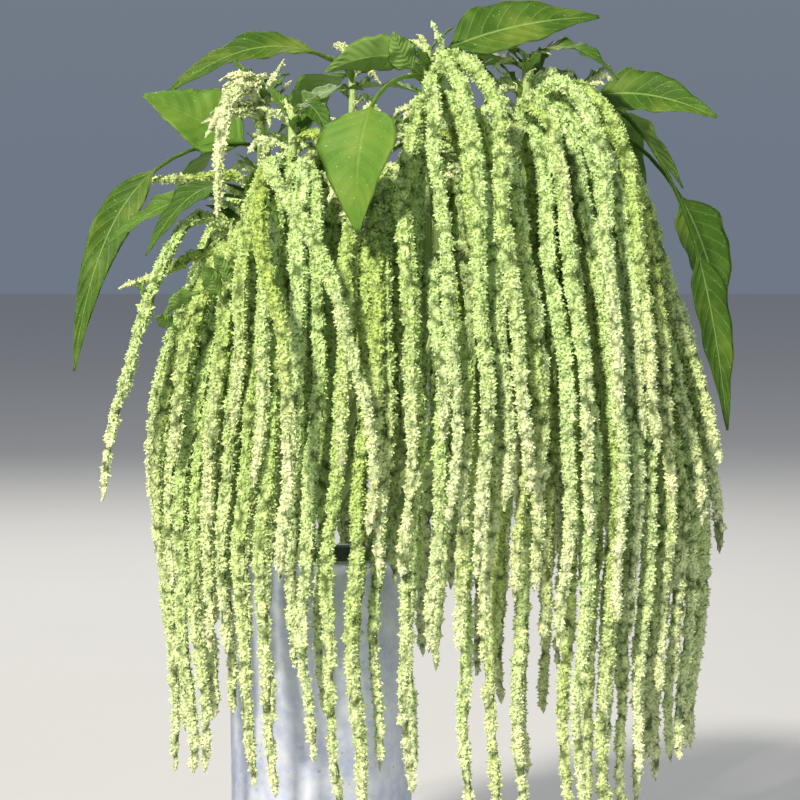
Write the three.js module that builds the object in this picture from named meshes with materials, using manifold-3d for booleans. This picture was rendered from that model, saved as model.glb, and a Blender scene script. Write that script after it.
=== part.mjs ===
// Potted love-lies-bleeding: a zinc bucket of soil, leafy stems, and sprays of hanging flower tassels.
// Millimetres, +Z up. The origin is the middle of the bucket's foot, and -Y is the front.
import * as THREE from "three";
import { mergeVertices } from "three/addons/utils/BufferGeometryUtils.js";
import Module from "manifold-3d";

const wasm = await Module();
wasm.setup();

// Driving dimensions
const FIT_GAP = 0.3;
const BUCKET = { height: 300, radius: 72.5, wall: 1.5, roll: 2.6, bead: 1.2, beadHeight: 6, sides: 28 };
const SOIL = { top: 278, crown: 5, holeDepth: 66 };

// The curtain of tassels is an ellipse in plan, and its middle lies to the right of the bucket
const CURTAIN = { middle: 90, halfWidth: 211, halfDepth: 182 };

// Stems stand upright in the soil, at footShare of their place in the curtain, and lean out above it
const STEM = {
  sides: 6,
  footRadius: 4.6,
  tipRadius: 3.1,
  taperOver: 400,
  footShare: 0.36,
  leanFrom: 286,
  leanTo: 500,
  bends: [286, 335, 380, 430, 500],
};

// The sleeve of flowers round a stem: shares of its height with shares of its radius
const COLLAR = {
  sides: 6,
  radius: 8.4,
  shape: [
    [0, 0.68],
    [0.3, 1],
    [0.7, 0.94],
    [1, 0.62],
  ],
};

// A tassel's radius lies between thin and thick. It has a swell or a waist at every band, and from
// taperFrom on it narrows by taper.
const TASSEL = {
  sides: 3,
  band: 56,
  innerBand: 90,
  waist: 0.72,
  uneven: 0.05,
  taperFrom: 0.5,
  taper: 0.35,
  tip: 0.55,
  rootRadius: 4,
  thin: 7.2,
  thick: 9.1,
};

// How high on its collar a tassel leaves, and by how many degrees it stands off its even place
const LEAVING = { outer: 0.62, inner: 0.2, spread: 0.26, jitter: 1 };

// A hanging tassel rises by a part of lift between low and high, fans out as far as fanShare, and turns
// straight down after a fall, which takes no more than fallShare of its height
const ARCH = {
  lift: 38,
  low: 0.5,
  high: 1.2,
  fall: 235,
  fallShare: 0.62,
  shoulder: 0.3,
  fanShare: 0.74,
  fanWay: 0.8,
};

// On the right the tassels slope down over a longer fall, with hardly a shoulder
const SLOPE = { ...ARCH, shoulder: 0.8, fall: 300, fallShare: 0.9 };

// The slow wave of the hanging tassels: its depth, its length, and where in the curtain it sets in
const SWAY = { across: 5, deep: 4, waveAcross: 58, waveDeep: 49, drift: 130, lag: 2, from: 0.7, to: 0.95 };
const LEAF = { thickness: 1, stalkRadius: 1.4, wave: 1.8, fold: 0.2 };

// The blade's outline: how far along the blade, and the share of its full half width there. The stalk
// comes first, with no share.
const BLADE = [
  [-1, 0],
  [0, 0],
  [0.16, 0.78],
  [0.36, 1],
  [0.58, 0.8],
  [0.8, 0.42],
  [1, 0.06],
];

// Where each stem leans to in the curtain's plan, and the height of its top.
// angle is in degrees round the curtain's middle, share is the part of the way out to its edge.
const STEMS = {
  front_left: { angle: -140, share: 0.68, top: 650 },
  front_mid: { angle: -109, share: 0.6, top: 636 },
  front: { angle: -93, share: 0.56, top: 694 },
  front_right: { angle: -52, share: 0.54, top: 692 },
  right_front: { angle: -16, share: 0.56, top: 672 },
  right_back: { angle: 18, share: 0.54, top: 662 },
  back_right: { angle: 53, share: 0.56, top: 676 },
  back: { angle: 88, share: 0.54, top: 668 },
  back_left: { angle: 124, share: 0.56, top: 694 },
  left_back: { angle: 160, share: 0.68, top: 628 },
  left_front: { angle: 197, share: 0.72, top: 590 },
  young: { angle: 183, share: 0.65, footShare: 0.18, top: 676 },
};

// Each spray grows from a collar on its stem. A row is a run of tassels that hang side by side along an
// arc of the curtain, given by the heights of their tips. A reach is one tassel with a way of its own,
// given by its thickness and the points that bend it.
const SPRAYS = {
  front_left: {
    stem: "front_left",
    collar: [560, 612],
    rows: [
      { share: 1.05, from: -143, to: -117, tips: [330, 410, 365, 300] },
      { share: 0.7, from: -144, to: -116, tips: [330, 290, 350] },
      { share: 1, from: -146, to: -114, tips: [235, 236, 135, 128, 292, 160] },
      { share: 0.86, from: -146, to: -114, tips: [240, 180, 225, 190] },
    ],
    reaches: [
      {
        from: 604,
        radius: 7.5,
        via: [[-32, -128, 606], [-12, -182, 572], [14, -203, 510], [44, -205, 373]],
      },
      {
        from: 598,
        radius: 7.5,
        via: [[-38, -122, 600], [-40, -174, 545], [-28, -201, 470], [-18, -205, 363]],
      },
    ],
  },
  front_mid: {
    stem: "front_mid",
    collar: [546, 598],
    rows: [
      { share: 1.05, from: -112, to: -100, tips: [380, 330] },
      { share: 1, from: -114, to: -98, tips: [90, 100, 300] },
      { share: 0.86, from: -111.5, to: -100.5, tips: [110, 150] },
      { share: 0.74, from: -115, to: -97, tips: [310, 290] },
    ],
    reaches: [],
  },
  front: {
    stem: "front",
    collar: [604, 660],
    rows: [
      { share: 1.05, from: -97.5, to: -93.5, tips: [300] },
      { share: 1.05, from: -81, to: -67, tips: [350, 290] },
      { share: 0.7, from: -79, to: -67, tips: [340, 280] },
      { share: 1, from: -98, to: -92.7, tips: [138] },
      { share: 1, from: -82, to: -66, tips: [235, 281, 365] },
      { share: 0.86, from: -98, to: -91.6, tips: [150] },
      { share: 0.86, from: -78.8, to: -66, tips: [70, 75] },
    ],
    reaches: [
      {
        from: 654,
        radius: 9,
        via: [[102, -125, 688], [134, -162, 655], [144, -194, 575], [153, -200, 365]],
      },
      {
        from: 648,
        radius: 8.5,
        via: [[96, -134, 680], [118, -172, 640], [124, -199, 560], [119, -202, 300]],
      },
      { from: 642, radius: 8, via: [[86, -138, 668], [94, -178, 620], [99, -201, 540], [99, -203, 335]] },
      { from: 656, radius: 5, via: [[91, -112, 684], [94, -118, 700], [87, -122, 716]] },
    ],
  },
  front_low: {
    stem: "front",
    collar: [503, 530],
    rows: [
      { share: 1.05, from: -92.2, to: -82.5, tips: [400, 330] },
      { share: 1, from: -92.7, to: -82, tips: [242, 246] },
      { share: 0.86, from: -91.6, to: -78.8, tips: [225, 66] },
    ],
    reaches: [],
  },
  front_right: {
    stem: "front_right",
    collar: [610, 662],
    rows: [
      { share: 1.05, from: -64, to: -34, tips: [330, 260, 400, 350] },
      { share: 0.7, from: -64, to: -34, tips: [280, 310, 260] },
      { share: 1, from: -66, to: -32, tips: [246, 70, 60, 250, 135, 200] },
      { share: 0.86, from: -66, to: -32, tips: [240, 60, 75, 62, 90] },
    ],
    reaches: [
      {
        from: 646,
        radius: 6.5,
        via: [[158, -124, 652], [176, -150, 636], [188, -172, 600], [194, -178, 562]],
      },
      {
        from: 652,
        radius: 8.5,
        via: [[188, -112, 668], [214, -144, 615], [224, -160, 530], [226, -163, 420]],
      },
      {
        from: 654,
        radius: 8.5,
        via: [[205, -98, 664], [238, -122, 600], [251, -138, 510], [254, -141, 390]],
      },
    ],
  },
  right_front: {
    stem: "right_front",
    collar: [596, 646],
    slopes: true,
    rows: [
      { share: 1.05, from: -30, to: 0, tips: [330, 390, 300] },
      { share: 0.7, from: -30, to: 0, tips: [300, 270] },
      { share: 1, from: -32, to: 2, tips: [205, 142, 150, 185, 140] },
      { share: 0.86, from: -32, to: 2, tips: [110, 140, 120, 170] },
    ],
    reaches: [
      { from: 636, radius: 7.5, via: [[226, -50, 646], [256, -62, 574], [288, -72, 474], [309, -77, 378]] },
    ],
  },
  right_back: {
    stem: "right_back",
    collar: [588, 636],
    slopes: true,
    rows: [
      { share: 1.05, from: 4, to: 34, tips: [350, 300] },
      { share: 0.7, from: 4, to: 34, tips: [310, 280] },
      { share: 1, from: 2, to: 36, tips: [160, 240, 120, 205, 150] },
      { share: 0.86, from: 2, to: 36, tips: [200, 110, 170] },
    ],
    reaches: [],
  },
  back_right: {
    stem: "back_right",
    collar: [600, 650],
    rows: [
      { share: 1.05, from: 38, to: 68, tips: [330, 290, 370] },
      { share: 0.7, from: 38, to: 68, tips: [290, 320] },
      { share: 1, from: 36, to: 70, tips: [230, 130, 185, 260, 145, 210] },
      { share: 0.86, from: 36, to: 70, tips: [120, 190, 95] },
    ],
    reaches: [
      { from: 642, radius: 8, via: [[180, 118, 652], [204, 148, 600], [214, 166, 520], [216, 169, 395]] },
    ],
  },
  back: {
    stem: "back",
    collar: [592, 642],
    rows: [
      { share: 1.05, from: 72, to: 104, tips: [360, 300, 330] },
      { share: 0.7, from: 72, to: 104, tips: [300, 270, 330] },
      { share: 1, from: 70, to: 106, tips: [150, 265, 250, 190, 120, 230] },
      { share: 0.86, from: 70, to: 106, tips: [180, 245, 110] },
    ],
    reaches: [
      { from: 634, radius: 8, via: [[96, 140, 646], [110, 176, 600], [116, 199, 520], [118, 202, 380]] },
      { from: 626, radius: 7.5, via: [[60, 140, 640], [46, 176, 590], [41, 200, 505], [40, 202, 410]] },
    ],
  },
  back_left: {
    stem: "back_left",
    collar: [580, 630],
    rows: [
      { share: 1.05, from: 108, to: 140, tips: [310, 340, 420] },
      { share: 0.7, from: 108, to: 140, tips: [280, 320] },
      { share: 1, from: 106, to: 142, tips: [165, 240, 130, 270, 180, 215] },
      { share: 0.86, from: 106, to: 142, tips: [220, 150, 200] },
    ],
    reaches: [
      { from: 622, radius: 8, via: [[-18, 122, 636], [-38, 154, 590], [-48, 176, 510], [-50, 180, 370]] },
    ],
  },
  left_back: {
    stem: "left_back",
    collar: [546, 594],
    rows: [
      { share: 1.05, from: 144, to: 176, tips: [330, 390, 300] },
      { share: 0.76, from: 146, to: 174, tips: [330, 320] },
      { share: 1, from: 142, to: 178, tips: [240, 170, 285, 150, 220] },
      { share: 0.86, from: 142, to: 178, tips: [200, 250, 165] },
    ],
    reaches: [{ from: 588, radius: 5.5, via: [[-70, 26, 601], [-108, 17, 599], [-155, 13, 597]] }],
  },
  left_front: {
    stem: "left_front",
    collar: [512, 560],
    rows: [
      { share: 1.05, from: 180, to: 212, tips: [340, 300, 380] },
      { share: 0.76, from: 182, to: 210, tips: [325, 340] },
      { share: 1, from: 178, to: 214, tips: [126, 187, 278, 134, 140] },
      { share: 0.86, from: 178, to: 214, tips: [210, 170, 250, 180] },
    ],
    reaches: [
      {
        from: 550,
        radius: 7,
        via: [[-100, -64, 566], [-136, -88, 500], [-151, -97, 430], [-162, -101, 350]],
      },
      { from: 544, radius: 5.5, via: [[-96, -44, 540], [-126, -50, 524], [-160, -54, 512]] },
    ],
  },
  young: {
    stem: "young",
    collar: [640, 668],
    rows: [],
    reaches: [
      { from: 658, radius: 6.5, via: [[-58, -42, 668], [-69, -64, 652], [-75, -77, 612], [-77, -79, 566]] },
      { from: 662, radius: 4.5, via: [[-56, -10, 678], [-64, -14, 690]] },
      { from: 664, radius: 4.5, via: [[-34, -16, 682], [-28, -24, 692]] },
      { from: 655, radius: 4.5, via: [[-30, -2, 668], [-22, 0, 678]] },
      { from: 652, radius: 4.5, via: [[-46, 10, 668], [-50, 18, 676]] },
    ],
  },
};

// Leaves, each by its stem, the height it leaves at, its tip, how far its arch is lifted and where along
// its way, its width, the share of its length that is stalk, and its roll in degrees
const LEAVES = {
  front_left: [
    { from: 646, tip: [12, -122, 622], lift: 34, at: 0.45, width: 22, stalk: 0.2, roll: 20 },
    { from: 642, tip: [34, -22, 668], lift: 20, at: 0.45, width: 34, stalk: 0.2, roll: 0 },
  ],
  front: [
    { from: 674, tip: [32, -192, 556], lift: 140, at: 1.14, width: 66, stalk: 0.5, roll: 0 },
    { from: 682, tip: [6, -94, 678], lift: 20, at: 0.45, width: 36, stalk: 0.25, roll: 48 },
    { from: 688, tip: [217, -62, 722], lift: 16, at: 0.45, width: 50, stalk: 0.14, roll: 48 },
    { from: 670, tip: [58, -132, 706], lift: -12, at: 0.8, width: 24, stalk: 0.3, roll: 60 },
    { from: 684, tip: [138, -86, 670], lift: 14, at: 0.5, width: 34, stalk: 0.25, roll: 40 },
  ],
  front_right: [
    { from: 688, tip: [230, -90, 672], lift: 34, at: 0.5, width: 26, stalk: 0.2, roll: 20 },
    { from: 680, tip: [96, -14, 672], lift: 30, at: 0.45, width: 36, stalk: 0.2, roll: 0 },
  ],
  right_front: [
    { from: 659, tip: [309, -56, 645], lift: 22, at: 0.45, width: 46, stalk: 0.14, roll: 48 },
    { from: 666, tip: [321, -32, 400], lift: 190, at: 0.8, width: 32, stalk: 0.66, roll: 62 },
    { from: 668, tip: [112, -6, 684], lift: 24, at: 0.45, width: 36, stalk: 0.2, roll: 0 },
  ],
  right_back: [
    { from: 660, tip: [260, 22, 590], lift: 44, at: 0.66, width: 44, stalk: 0.22, roll: 35 },
    { from: 652, tip: [322, 16, 480], lift: 116, at: 0.8, width: 50, stalk: 0.58, roll: 48 },
    { from: 652, tip: [296, 88, 592], lift: 48, at: 0.5, width: 36, stalk: 0.25, roll: 0 },
  ],
  back_right: [
    { from: 668, tip: [244, 138, 650], lift: 30, at: 0.45, width: 40, stalk: 0.18, roll: 0 },
    { from: 672, tip: [136, 176, 656], lift: 28, at: 0.45, width: 32, stalk: 0.2, roll: 0 },
  ],
  back: [
    { from: 658, tip: [84, 214, 556], lift: 76, at: 0.6, width: 50, stalk: 0.28, roll: 0 },
    { from: 664, tip: [14, 156, 674], lift: 18, at: 0.45, width: 32, stalk: 0.2, roll: 0 },
    { from: 660, tip: [84, 12, 690], lift: 24, at: 0.45, width: 36, stalk: 0.2, roll: 0 },
  ],
  back_left: [
    { from: 686, tip: [-130, 46, 664], lift: 62, at: 0.45, width: 32, stalk: 0.22, roll: -42 },
    { from: 690, tip: [44, 62, 708], lift: 12, at: 0.45, width: 24, stalk: 0.2, roll: 45 },
    { from: 682, tip: [-34, 190, 606], lift: 66, at: 0.55, width: 42, stalk: 0.22, roll: 0 },
  ],
  left_back: [
    { from: 618, tip: [-143, 30, 666], lift: 4, at: 0.45, width: 62, stalk: 0.2, roll: -58 },
    { from: 625, tip: [-195, -18, 446], lift: 174, at: 0.84, width: 30, stalk: 0.42, roll: -62 },
    { from: 619, tip: [-134, 112, 560], lift: 62, at: 0.5, width: 34, stalk: 0.25, roll: -10 },
  ],
  left_front: [
    { from: 582, tip: [-168, -44, 544], lift: 34, at: 0.5, width: 25, stalk: 0.3, roll: -35 },
    { from: 586, tip: [-132, -88, 538], lift: 50, at: 0.5, width: 28, stalk: 0.25, roll: -20 },
    { from: 576, tip: [20, -20, 600], lift: 24, at: 0.45, width: 34, stalk: 0.2, roll: 0 },
  ],
};

const UP = new THREE.Vector3(0, 0, 1);

// A random number from 0 to 1, the same run on every machine
function seeded(seed) {
  let state = seed;
  return () => {
    state = (Math.imul(state, 1664525) + 1013904223) >>> 0;
    return state / 4294967296;
  };
}

// A point of the plan, by its angle round the curtain and its share of the way out
function place(angle, share, z) {
  const turn = THREE.MathUtils.degToRad(angle);
  const x = CURTAIN.middle + share * CURTAIN.halfWidth * Math.cos(turn);
  return new THREE.Vector3(x, share * CURTAIN.halfDepth * Math.sin(turn), z);
}

// The slow wave that all hanging tassels share, nothing near the stems
function swayed(point) {
  const out = Math.hypot((point.x - CURTAIN.middle) / CURTAIN.halfWidth, point.y / CURTAIN.halfDepth);
  const much = THREE.MathUtils.smoothstep(out, SWAY.from, SWAY.to);
  const across = Math.sin(point.z / SWAY.waveAcross + point.x / SWAY.drift);
  const deep = Math.sin(point.z / SWAY.waveDeep + (point.x + point.y) / SWAY.drift + SWAY.lag);
  return new THREE.Vector3(
    point.x + much * SWAY.across * across,
    point.y + much * SWAY.deep * deep,
    point.z,
  );
}

// A closed skin over rings of equal length. leaning says which quads are split the other way.
function loft(rings, leaning = []) {
  const count = rings[0].length;
  const points = rings.flat();
  const faces = [];
  for (let ring = 0; ring + 1 < rings.length; ring += 1) {
    for (let i = 0; i < count; i += 1) {
      const a = ring * count + i;
      const b = ring * count + ((i + 1) % count);
      if (leaning.includes(i)) {
        faces.push(a, b, b + count, a, b + count, a + count);
      } else {
        faces.push(a, b, a + count, b, b + count, a + count);
      }
    }
  }
  for (let i = 1; i + 1 < count; i += 1) {
    faces.push(0, i + 1, i);
  }
  const last = points.length - count;
  for (let i = 1; i + 1 < count; i += 1) {
    faces.push(last, last + i, last + i + 1);
  }
  const geometry = new THREE.BufferGeometry().setFromPoints(points);
  geometry.setIndex(faces);
  return geometry;
}

// A solid for joining and cutting, turned right side out
function solidOf(geometry) {
  const bare = geometry.clone();
  bare.deleteAttribute("normal");
  bare.deleteAttribute("uv");
  const merged = mergeVertices(bare, 1e-3);
  const vertProperties = new Float32Array(merged.getAttribute("position").array);
  const triVerts = new Uint32Array(merged.index.array);
  const solid = new wasm.Manifold(new wasm.Mesh({ numProp: 3, vertProperties, triVerts }));
  if (solid.volume() > 0) {
    return solid;
  }
  for (let i = 0; i < triVerts.length; i += 3) {
    [triVerts[i], triVerts[i + 1]] = [triVerts[i + 1], triVerts[i]];
  }
  return new wasm.Manifold(new wasm.Mesh({ numProp: 3, vertProperties, triVerts }));
}

function geometryOf(solid) {
  const { vertProperties, triVerts } = solid.getMesh();
  const geometry = new THREE.BufferGeometry();
  geometry.setAttribute("position", new THREE.BufferAttribute(new Float32Array(vertProperties), 3));
  geometry.setIndex(new THREE.BufferAttribute(new Uint32Array(triVerts), 1));
  geometry.computeVertexNormals();
  return geometry;
}

// A polygon of points round a centre, square to along, with its first corner turned from side
function ringAt(centre, along, side, radius, sides, turn) {
  const across = new THREE.Vector3().crossVectors(along, side).normalize();
  const ring = [];
  for (let i = 0; i < sides; i += 1) {
    const angle = turn + (i / sides) * 2 * Math.PI;
    const point = centre.clone();
    point.addScaledVector(side, radius * Math.cos(angle));
    point.addScaledVector(across, radius * Math.sin(angle));
    ring.push(point);
  }
  return ring;
}

// The bucket: straight walls, a rounded foot and a rolled rim, all one turned sheet
function bucketGeometry() {
  const { height, radius, wall, roll, bead, beadHeight, sides } = BUCKET;
  const profile = [
    [0, 0],
    [radius - bead, 0],
    [radius + bead, 0.3 * beadHeight],
    [radius + bead, 0.7 * beadHeight],
    [radius, beadHeight],
    [radius, height - 2 * roll],
    [radius + roll * 0.8, height - 1.7 * roll],
    [radius + roll, height - 0.9 * roll],
    [radius + roll * 0.4, height],
    [radius - wall, height - 0.5 * roll],
    [radius - wall, wall],
    [0, wall],
  ];
  const points = profile.map(([x, y]) => new THREE.Vector2(x, y));
  return new THREE.LatheGeometry(points, sides).rotateX(Math.PI / 2);
}

// The soil: a crowned plug that fills the bucket, less a plain hole for each stem
function soilSolid() {
  const radius = BUCKET.radius - BUCKET.wall - FIT_GAP;
  const profile = [
    [0, BUCKET.wall + FIT_GAP],
    [radius, BUCKET.wall + FIT_GAP],
    [radius, SOIL.top - SOIL.crown],
    [radius * 0.55, SOIL.top],
    [0, SOIL.top + 1],
  ];
  const points = profile.map(([x, y]) => new THREE.Vector2(x, y));
  let soil = solidOf(new THREE.LatheGeometry(points, BUCKET.sides).rotateX(Math.PI / 2));
  for (const stem of Object.values(STEMS)) {
    soil = soil.subtract(stemSolid(stem, FIT_GAP));
  }
  return soil;
}

// The stem's axis at a height: upright in the soil, then leaning out to its place in the curtain
function stemAt(stem, z) {
  const head = place(stem.angle, stem.share, z);
  const inward = stem.footShare ?? STEM.footShare;
  const foot = new THREE.Vector3((head.x - CURTAIN.middle) * inward, head.y * inward, z);
  return foot.lerp(head, THREE.MathUtils.smoothstep(z, STEM.leanFrom, STEM.leanTo));
}

function stemRadius(z) {
  const up = THREE.MathUtils.clamp((z - SOIL.top) / STEM.taperOver, 0, 1);
  return THREE.MathUtils.lerp(STEM.footRadius, STEM.tipRadius, up);
}

// The bare stem, or with extra on all sides the room that it needs
function stemSolid(stem, extra = 0) {
  const heights = [SOIL.top - SOIL.holeDepth - extra, ...STEM.bends, stem.top + extra];
  const rings = [];
  for (const z of heights) {
    const centre = stemAt(stem, z);
    const along = stemAt(stem, z + 2).sub(stemAt(stem, z - 2)).normalize();
    const side = new THREE.Vector3(1, 0, 0).addScaledVector(along, -along.x).normalize();
    const room = extra / Math.cos(Math.PI / STEM.sides);
    rings.push(ringAt(centre, along, side, stemRadius(z) + room, STEM.sides, 0));
  }
  return solidOf(loft(rings));
}

// A leaf from its stalk to its tip: an arched blade with a fold down its midrib and waved edges
function leafSolid(stem, leaf) {
  const root = stemAt(stem, leaf.from);
  const tip = new THREE.Vector3(...leaf.tip);
  const bend = root.clone().lerp(tip, leaf.at).addScaledVector(UP, leaf.lift);
  const spine = new THREE.QuadraticBezierCurve3(root, bend, tip);
  const level = new THREE.Vector3().crossVectors(tip.clone().sub(root), UP).normalize();
  const rings = BLADE.map(([station, share], order) => {
    const along = station < 0 ? 0 : leaf.stalk + (1 - leaf.stalk) * station;
    const forward = spine.getTangent(along);
    const side = level.clone().addScaledVector(forward, -level.dot(forward)).normalize();
    side.applyAxisAngle(forward, THREE.MathUtils.degToRad(leaf.roll));
    const normal = new THREE.Vector3().crossVectors(side, forward);
    const half = share ? (leaf.width / 2) * share : LEAF.stalkRadius;
    const thick = share ? LEAF.thickness / 2 : LEAF.stalkRadius;
    const wave = share * LEAF.wave * (order % 2 ? 1 : -1);
    const raise = share * LEAF.fold * half;
    const centre = spine.getPoint(along);
    const at = (across, height) =>
      centre.clone().addScaledVector(side, across).addScaledVector(normal, height);
    return [
      at(-half, raise + wave + thick),
      at(0, thick),
      at(half, raise - wave + thick),
      at(half, raise - wave - thick),
      at(0, -thick),
      at(-half, raise + wave - thick),
    ];
  });
  return solidOf(loft(rings, [3, 4]));
}

function leafyStemSolid(name) {
  let plant = stemSolid(STEMS[name]);
  for (const leaf of LEAVES[name] ?? []) {
    plant = plant.add(leafSolid(STEMS[name], leaf));
  }
  return plant;
}

// A tassel: a lumpy rope of flower clusters along its path, three-sided with every ring turned
function tasselSolid(path, side, radius, band) {
  const bands = Math.max(4, Math.round(path.getLength() / band));
  const points = path.getSpacedPoints(bands).map(swayed);
  const rings = points.map((point, i) => {
    const before = points[Math.max(i - 1, 0)];
    const after = points[Math.min(i + 1, bands)];
    const along = after.clone().sub(before).normalize();
    const level = side.clone().addScaledVector(along, -side.dot(along)).normalize();
    const taper = 1 - TASSEL.taper * THREE.MathUtils.smoothstep(i / bands, TASSEL.taperFrom, 1);
    const lump = (i % 2 ? 1 : TASSEL.waist) * (1 + TASSEL.uneven * Math.sin(2.4 * i));
    const end = i === bands ? TASSEL.tip : 1;
    const wide = i === 0 ? TASSEL.rootRadius : radius * taper * lump * end;
    return ringAt(point, along, level, wide, TASSEL.sides, (i * Math.PI) / TASSEL.sides);
  });
  return solidOf(loft(rings));
}

// The way of a tassel that hangs in the curtain: up from its collar, over, and down
function hangingPath(root, angle, share, lift, tipHeight, arch) {
  const hang = place(angle, share, 0);
  const fall = Math.min(arch.fall, arch.fallShare * (root.z - tipHeight));
  const fanned = share > arch.fanShare ? place(angle, arch.fanShare, 0) : hang;
  const over = root.clone().lerp(fanned, arch.fanWay).setZ(root.z + lift);
  const shoulder = hang.clone().setZ(root.z - arch.shoulder * fall);
  const straight = hang.clone().setZ(root.z - fall);
  const path = new THREE.CurvePath();
  path.add(new THREE.CubicBezierCurve3(root, over, shoulder, straight));
  path.add(new THREE.LineCurve3(straight, hang.clone().setZ(tipHeight)));
  return path;
}

function collarSolid(stem, [low, high]) {
  const side = new THREE.Vector3(1, 0, 0);
  const rings = COLLAR.shape.map(([up, wide]) => {
    const centre = stemAt(stem, THREE.MathUtils.lerp(low, high, up));
    return ringAt(centre, UP, side, COLLAR.radius * wide, COLLAR.sides, 0);
  });
  return solidOf(loft(rings));
}

// A spray: its collar round the stem with all its tassels, less the room that the stem needs
function spraySolid(spray, seed) {
  const draw = seeded(seed);
  const stem = STEMS[spray.stem];
  const [low, high] = spray.collar;
  const arch = spray.slopes ? SLOPE : ARCH;
  let flowers = collarSolid(stem, spray.collar);
  spray.rows.forEach((row) => {
    row.tips.forEach((tipHeight, i) => {
      const evenly = row.from + ((i + 0.5) / row.tips.length) * (row.to - row.from);
      const angle = evenly + LEAVING.jitter * (draw() - 0.5);
      const outer = row.share >= 1;
      const level = (outer ? LEAVING.outer : LEAVING.inner) + LEAVING.spread * draw();
      const lift = arch.lift * THREE.MathUtils.lerp(arch.low, arch.high, draw());
      const root = stemAt(stem, low + (high - low) * level);
      const outward = place(angle, row.share, root.z).sub(root);
      const side = new THREE.Vector3().crossVectors(outward, UP).normalize();
      const radius = THREE.MathUtils.lerp(TASSEL.thin, TASSEL.thick, draw());
      const path = hangingPath(root, angle, row.share, lift, tipHeight, arch);
      const band = outer ? TASSEL.band : TASSEL.innerBand;
      flowers = flowers.add(tasselSolid(path, side, radius, band));
    });
  });
  for (const reach of spray.reaches) {
    const root = stemAt(stem, reach.from);
    const points = reach.via.map((point) => new THREE.Vector3(...point));
    const side = new THREE.Vector3().crossVectors(points.at(-1).clone().sub(root), UP).normalize();
    const path = new THREE.CatmullRomCurve3([root, ...points], false, "catmullrom", 0.5);
    flowers = flowers.add(tasselSolid(path, side, reach.radius, TASSEL.band));
  }
  const pieces = flowers.subtract(stemSolid(stem, FIT_GAP)).decompose();
  return pieces.reduce((most, piece) => (piece.volume() > most.volume() ? piece : most));
}

// Surfaces
const zinc = { color: 0xb4bccb, roughness: 0.45, metalness: 0.85 };
const compost = { color: 0x3a2c20, roughness: 0.95, metalness: 0 };
const leafGreen = { color: 0x5f8a3a, roughness: 0.6, metalness: 0 };
const lime = { color: 0xb4c878, roughness: 0.8, metalness: 0 };

const plant = new THREE.Group();

function show(name, geometry, look) {
  const mesh = new THREE.Mesh(geometry, new THREE.MeshStandardMaterial(look));
  mesh.name = name;
  plant.add(mesh);
}

show("bucket", bucketGeometry(), zinc);
show("soil", geometryOf(soilSolid()), compost);
for (const name of Object.keys(STEMS)) {
  show(`stem_${name}`, geometryOf(leafyStemSolid(name)), leafGreen);
}
Object.entries(SPRAYS).forEach(([name, spray], order) => {
  show(`spray_${name}`, geometryOf(spraySolid(spray, order + 1)), lime);
});

export default plant;
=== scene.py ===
"""Potted love-lies-bleeding: a zinc bucket of soil, leafy stems, and sprays of hanging flower tassels.

Sizes are in millimetres until a mesh is made. +Z is up, -Y is the front, and the origin is the middle
of the bucket's foot.
"""
import math

import bpy
import numpy as np
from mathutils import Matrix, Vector


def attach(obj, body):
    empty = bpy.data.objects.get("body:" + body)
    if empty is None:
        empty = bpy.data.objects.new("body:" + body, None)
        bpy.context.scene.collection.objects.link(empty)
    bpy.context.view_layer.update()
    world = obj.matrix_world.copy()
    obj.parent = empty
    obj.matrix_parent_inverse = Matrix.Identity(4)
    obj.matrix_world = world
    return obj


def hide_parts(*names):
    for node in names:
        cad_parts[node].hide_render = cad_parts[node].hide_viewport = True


bl_info = {
    "name": "Potted Love-Lies-Bleeding",
    "version": (1, 0, 0),
    "blender": (4, 5, 0),
    "location": "View3D > Sidebar > Love-lies-bleeding",
    "description": "Makes a zinc bucket of green love-lies-bleeding with its tassels and leaves",
    "category": "Add Mesh",
}

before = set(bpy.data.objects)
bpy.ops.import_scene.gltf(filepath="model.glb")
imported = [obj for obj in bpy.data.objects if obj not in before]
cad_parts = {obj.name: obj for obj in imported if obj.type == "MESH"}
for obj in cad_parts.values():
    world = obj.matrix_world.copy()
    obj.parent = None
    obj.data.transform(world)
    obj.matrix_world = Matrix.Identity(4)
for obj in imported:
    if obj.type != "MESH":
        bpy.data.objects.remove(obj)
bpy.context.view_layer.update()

MM = 0.001
BODY = "root"

# A full turn in radians, as the draws take it, and the turn from one catkin to the next up a stem
FULL_TURN, GOLDEN_TURN = 6.28, 2.4

# The bucket, the angle in degrees of its side seam, and the soil in it
BUCKET = {"height": 300, "radius": 72.5, "wall": 1.5, "roll": 2.6, "bead": 1.2, "bead_height": 6}
SEAM_ANGLE = 128
SOIL = {"top": 278, "crown": 5, "hole_depth": 66, "gap": 0.3}

# The curtain of tassels is an ellipse in plan, and its middle lies to the right of the bucket
CURTAIN = {"middle": 90, "half_width": 211, "half_depth": 182}

# A stem's radii, the heights between which it leans out, and its rings and sides
STEM = {"foot_radius": 4.6, "tip_radius": 3.1, "taper_over": 400, "lean_from": 286, "lean_to": 500}
STEM_RINGS, STEM_SIDES = 70, 14

# A collar's radius, and its outline as shares of its height and of that radius
COLLAR = {"radius": 8.4, "up": (0, 0.3, 0.7, 1), "wide": (0.68, 1, 0.94, 0.62)}

# A tassel's least and greatest radius, its taper, the step between its points, how far it wavers, and
# the draw above which it is beaded
TASSEL = {"thin": 7.2, "thick": 9.1, "taper_from": 0.5, "taper": 0.35, "step": 4, "waver": 1.3}
BEADED_FROM = 0.8

# Where on its collar a tassel leaves, as a share of the collar's height, and how far its angle strays
LEAVING = {"outer": 0.62, "inner": 0.2, "spread": 0.26, "jitter": 1}

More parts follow.
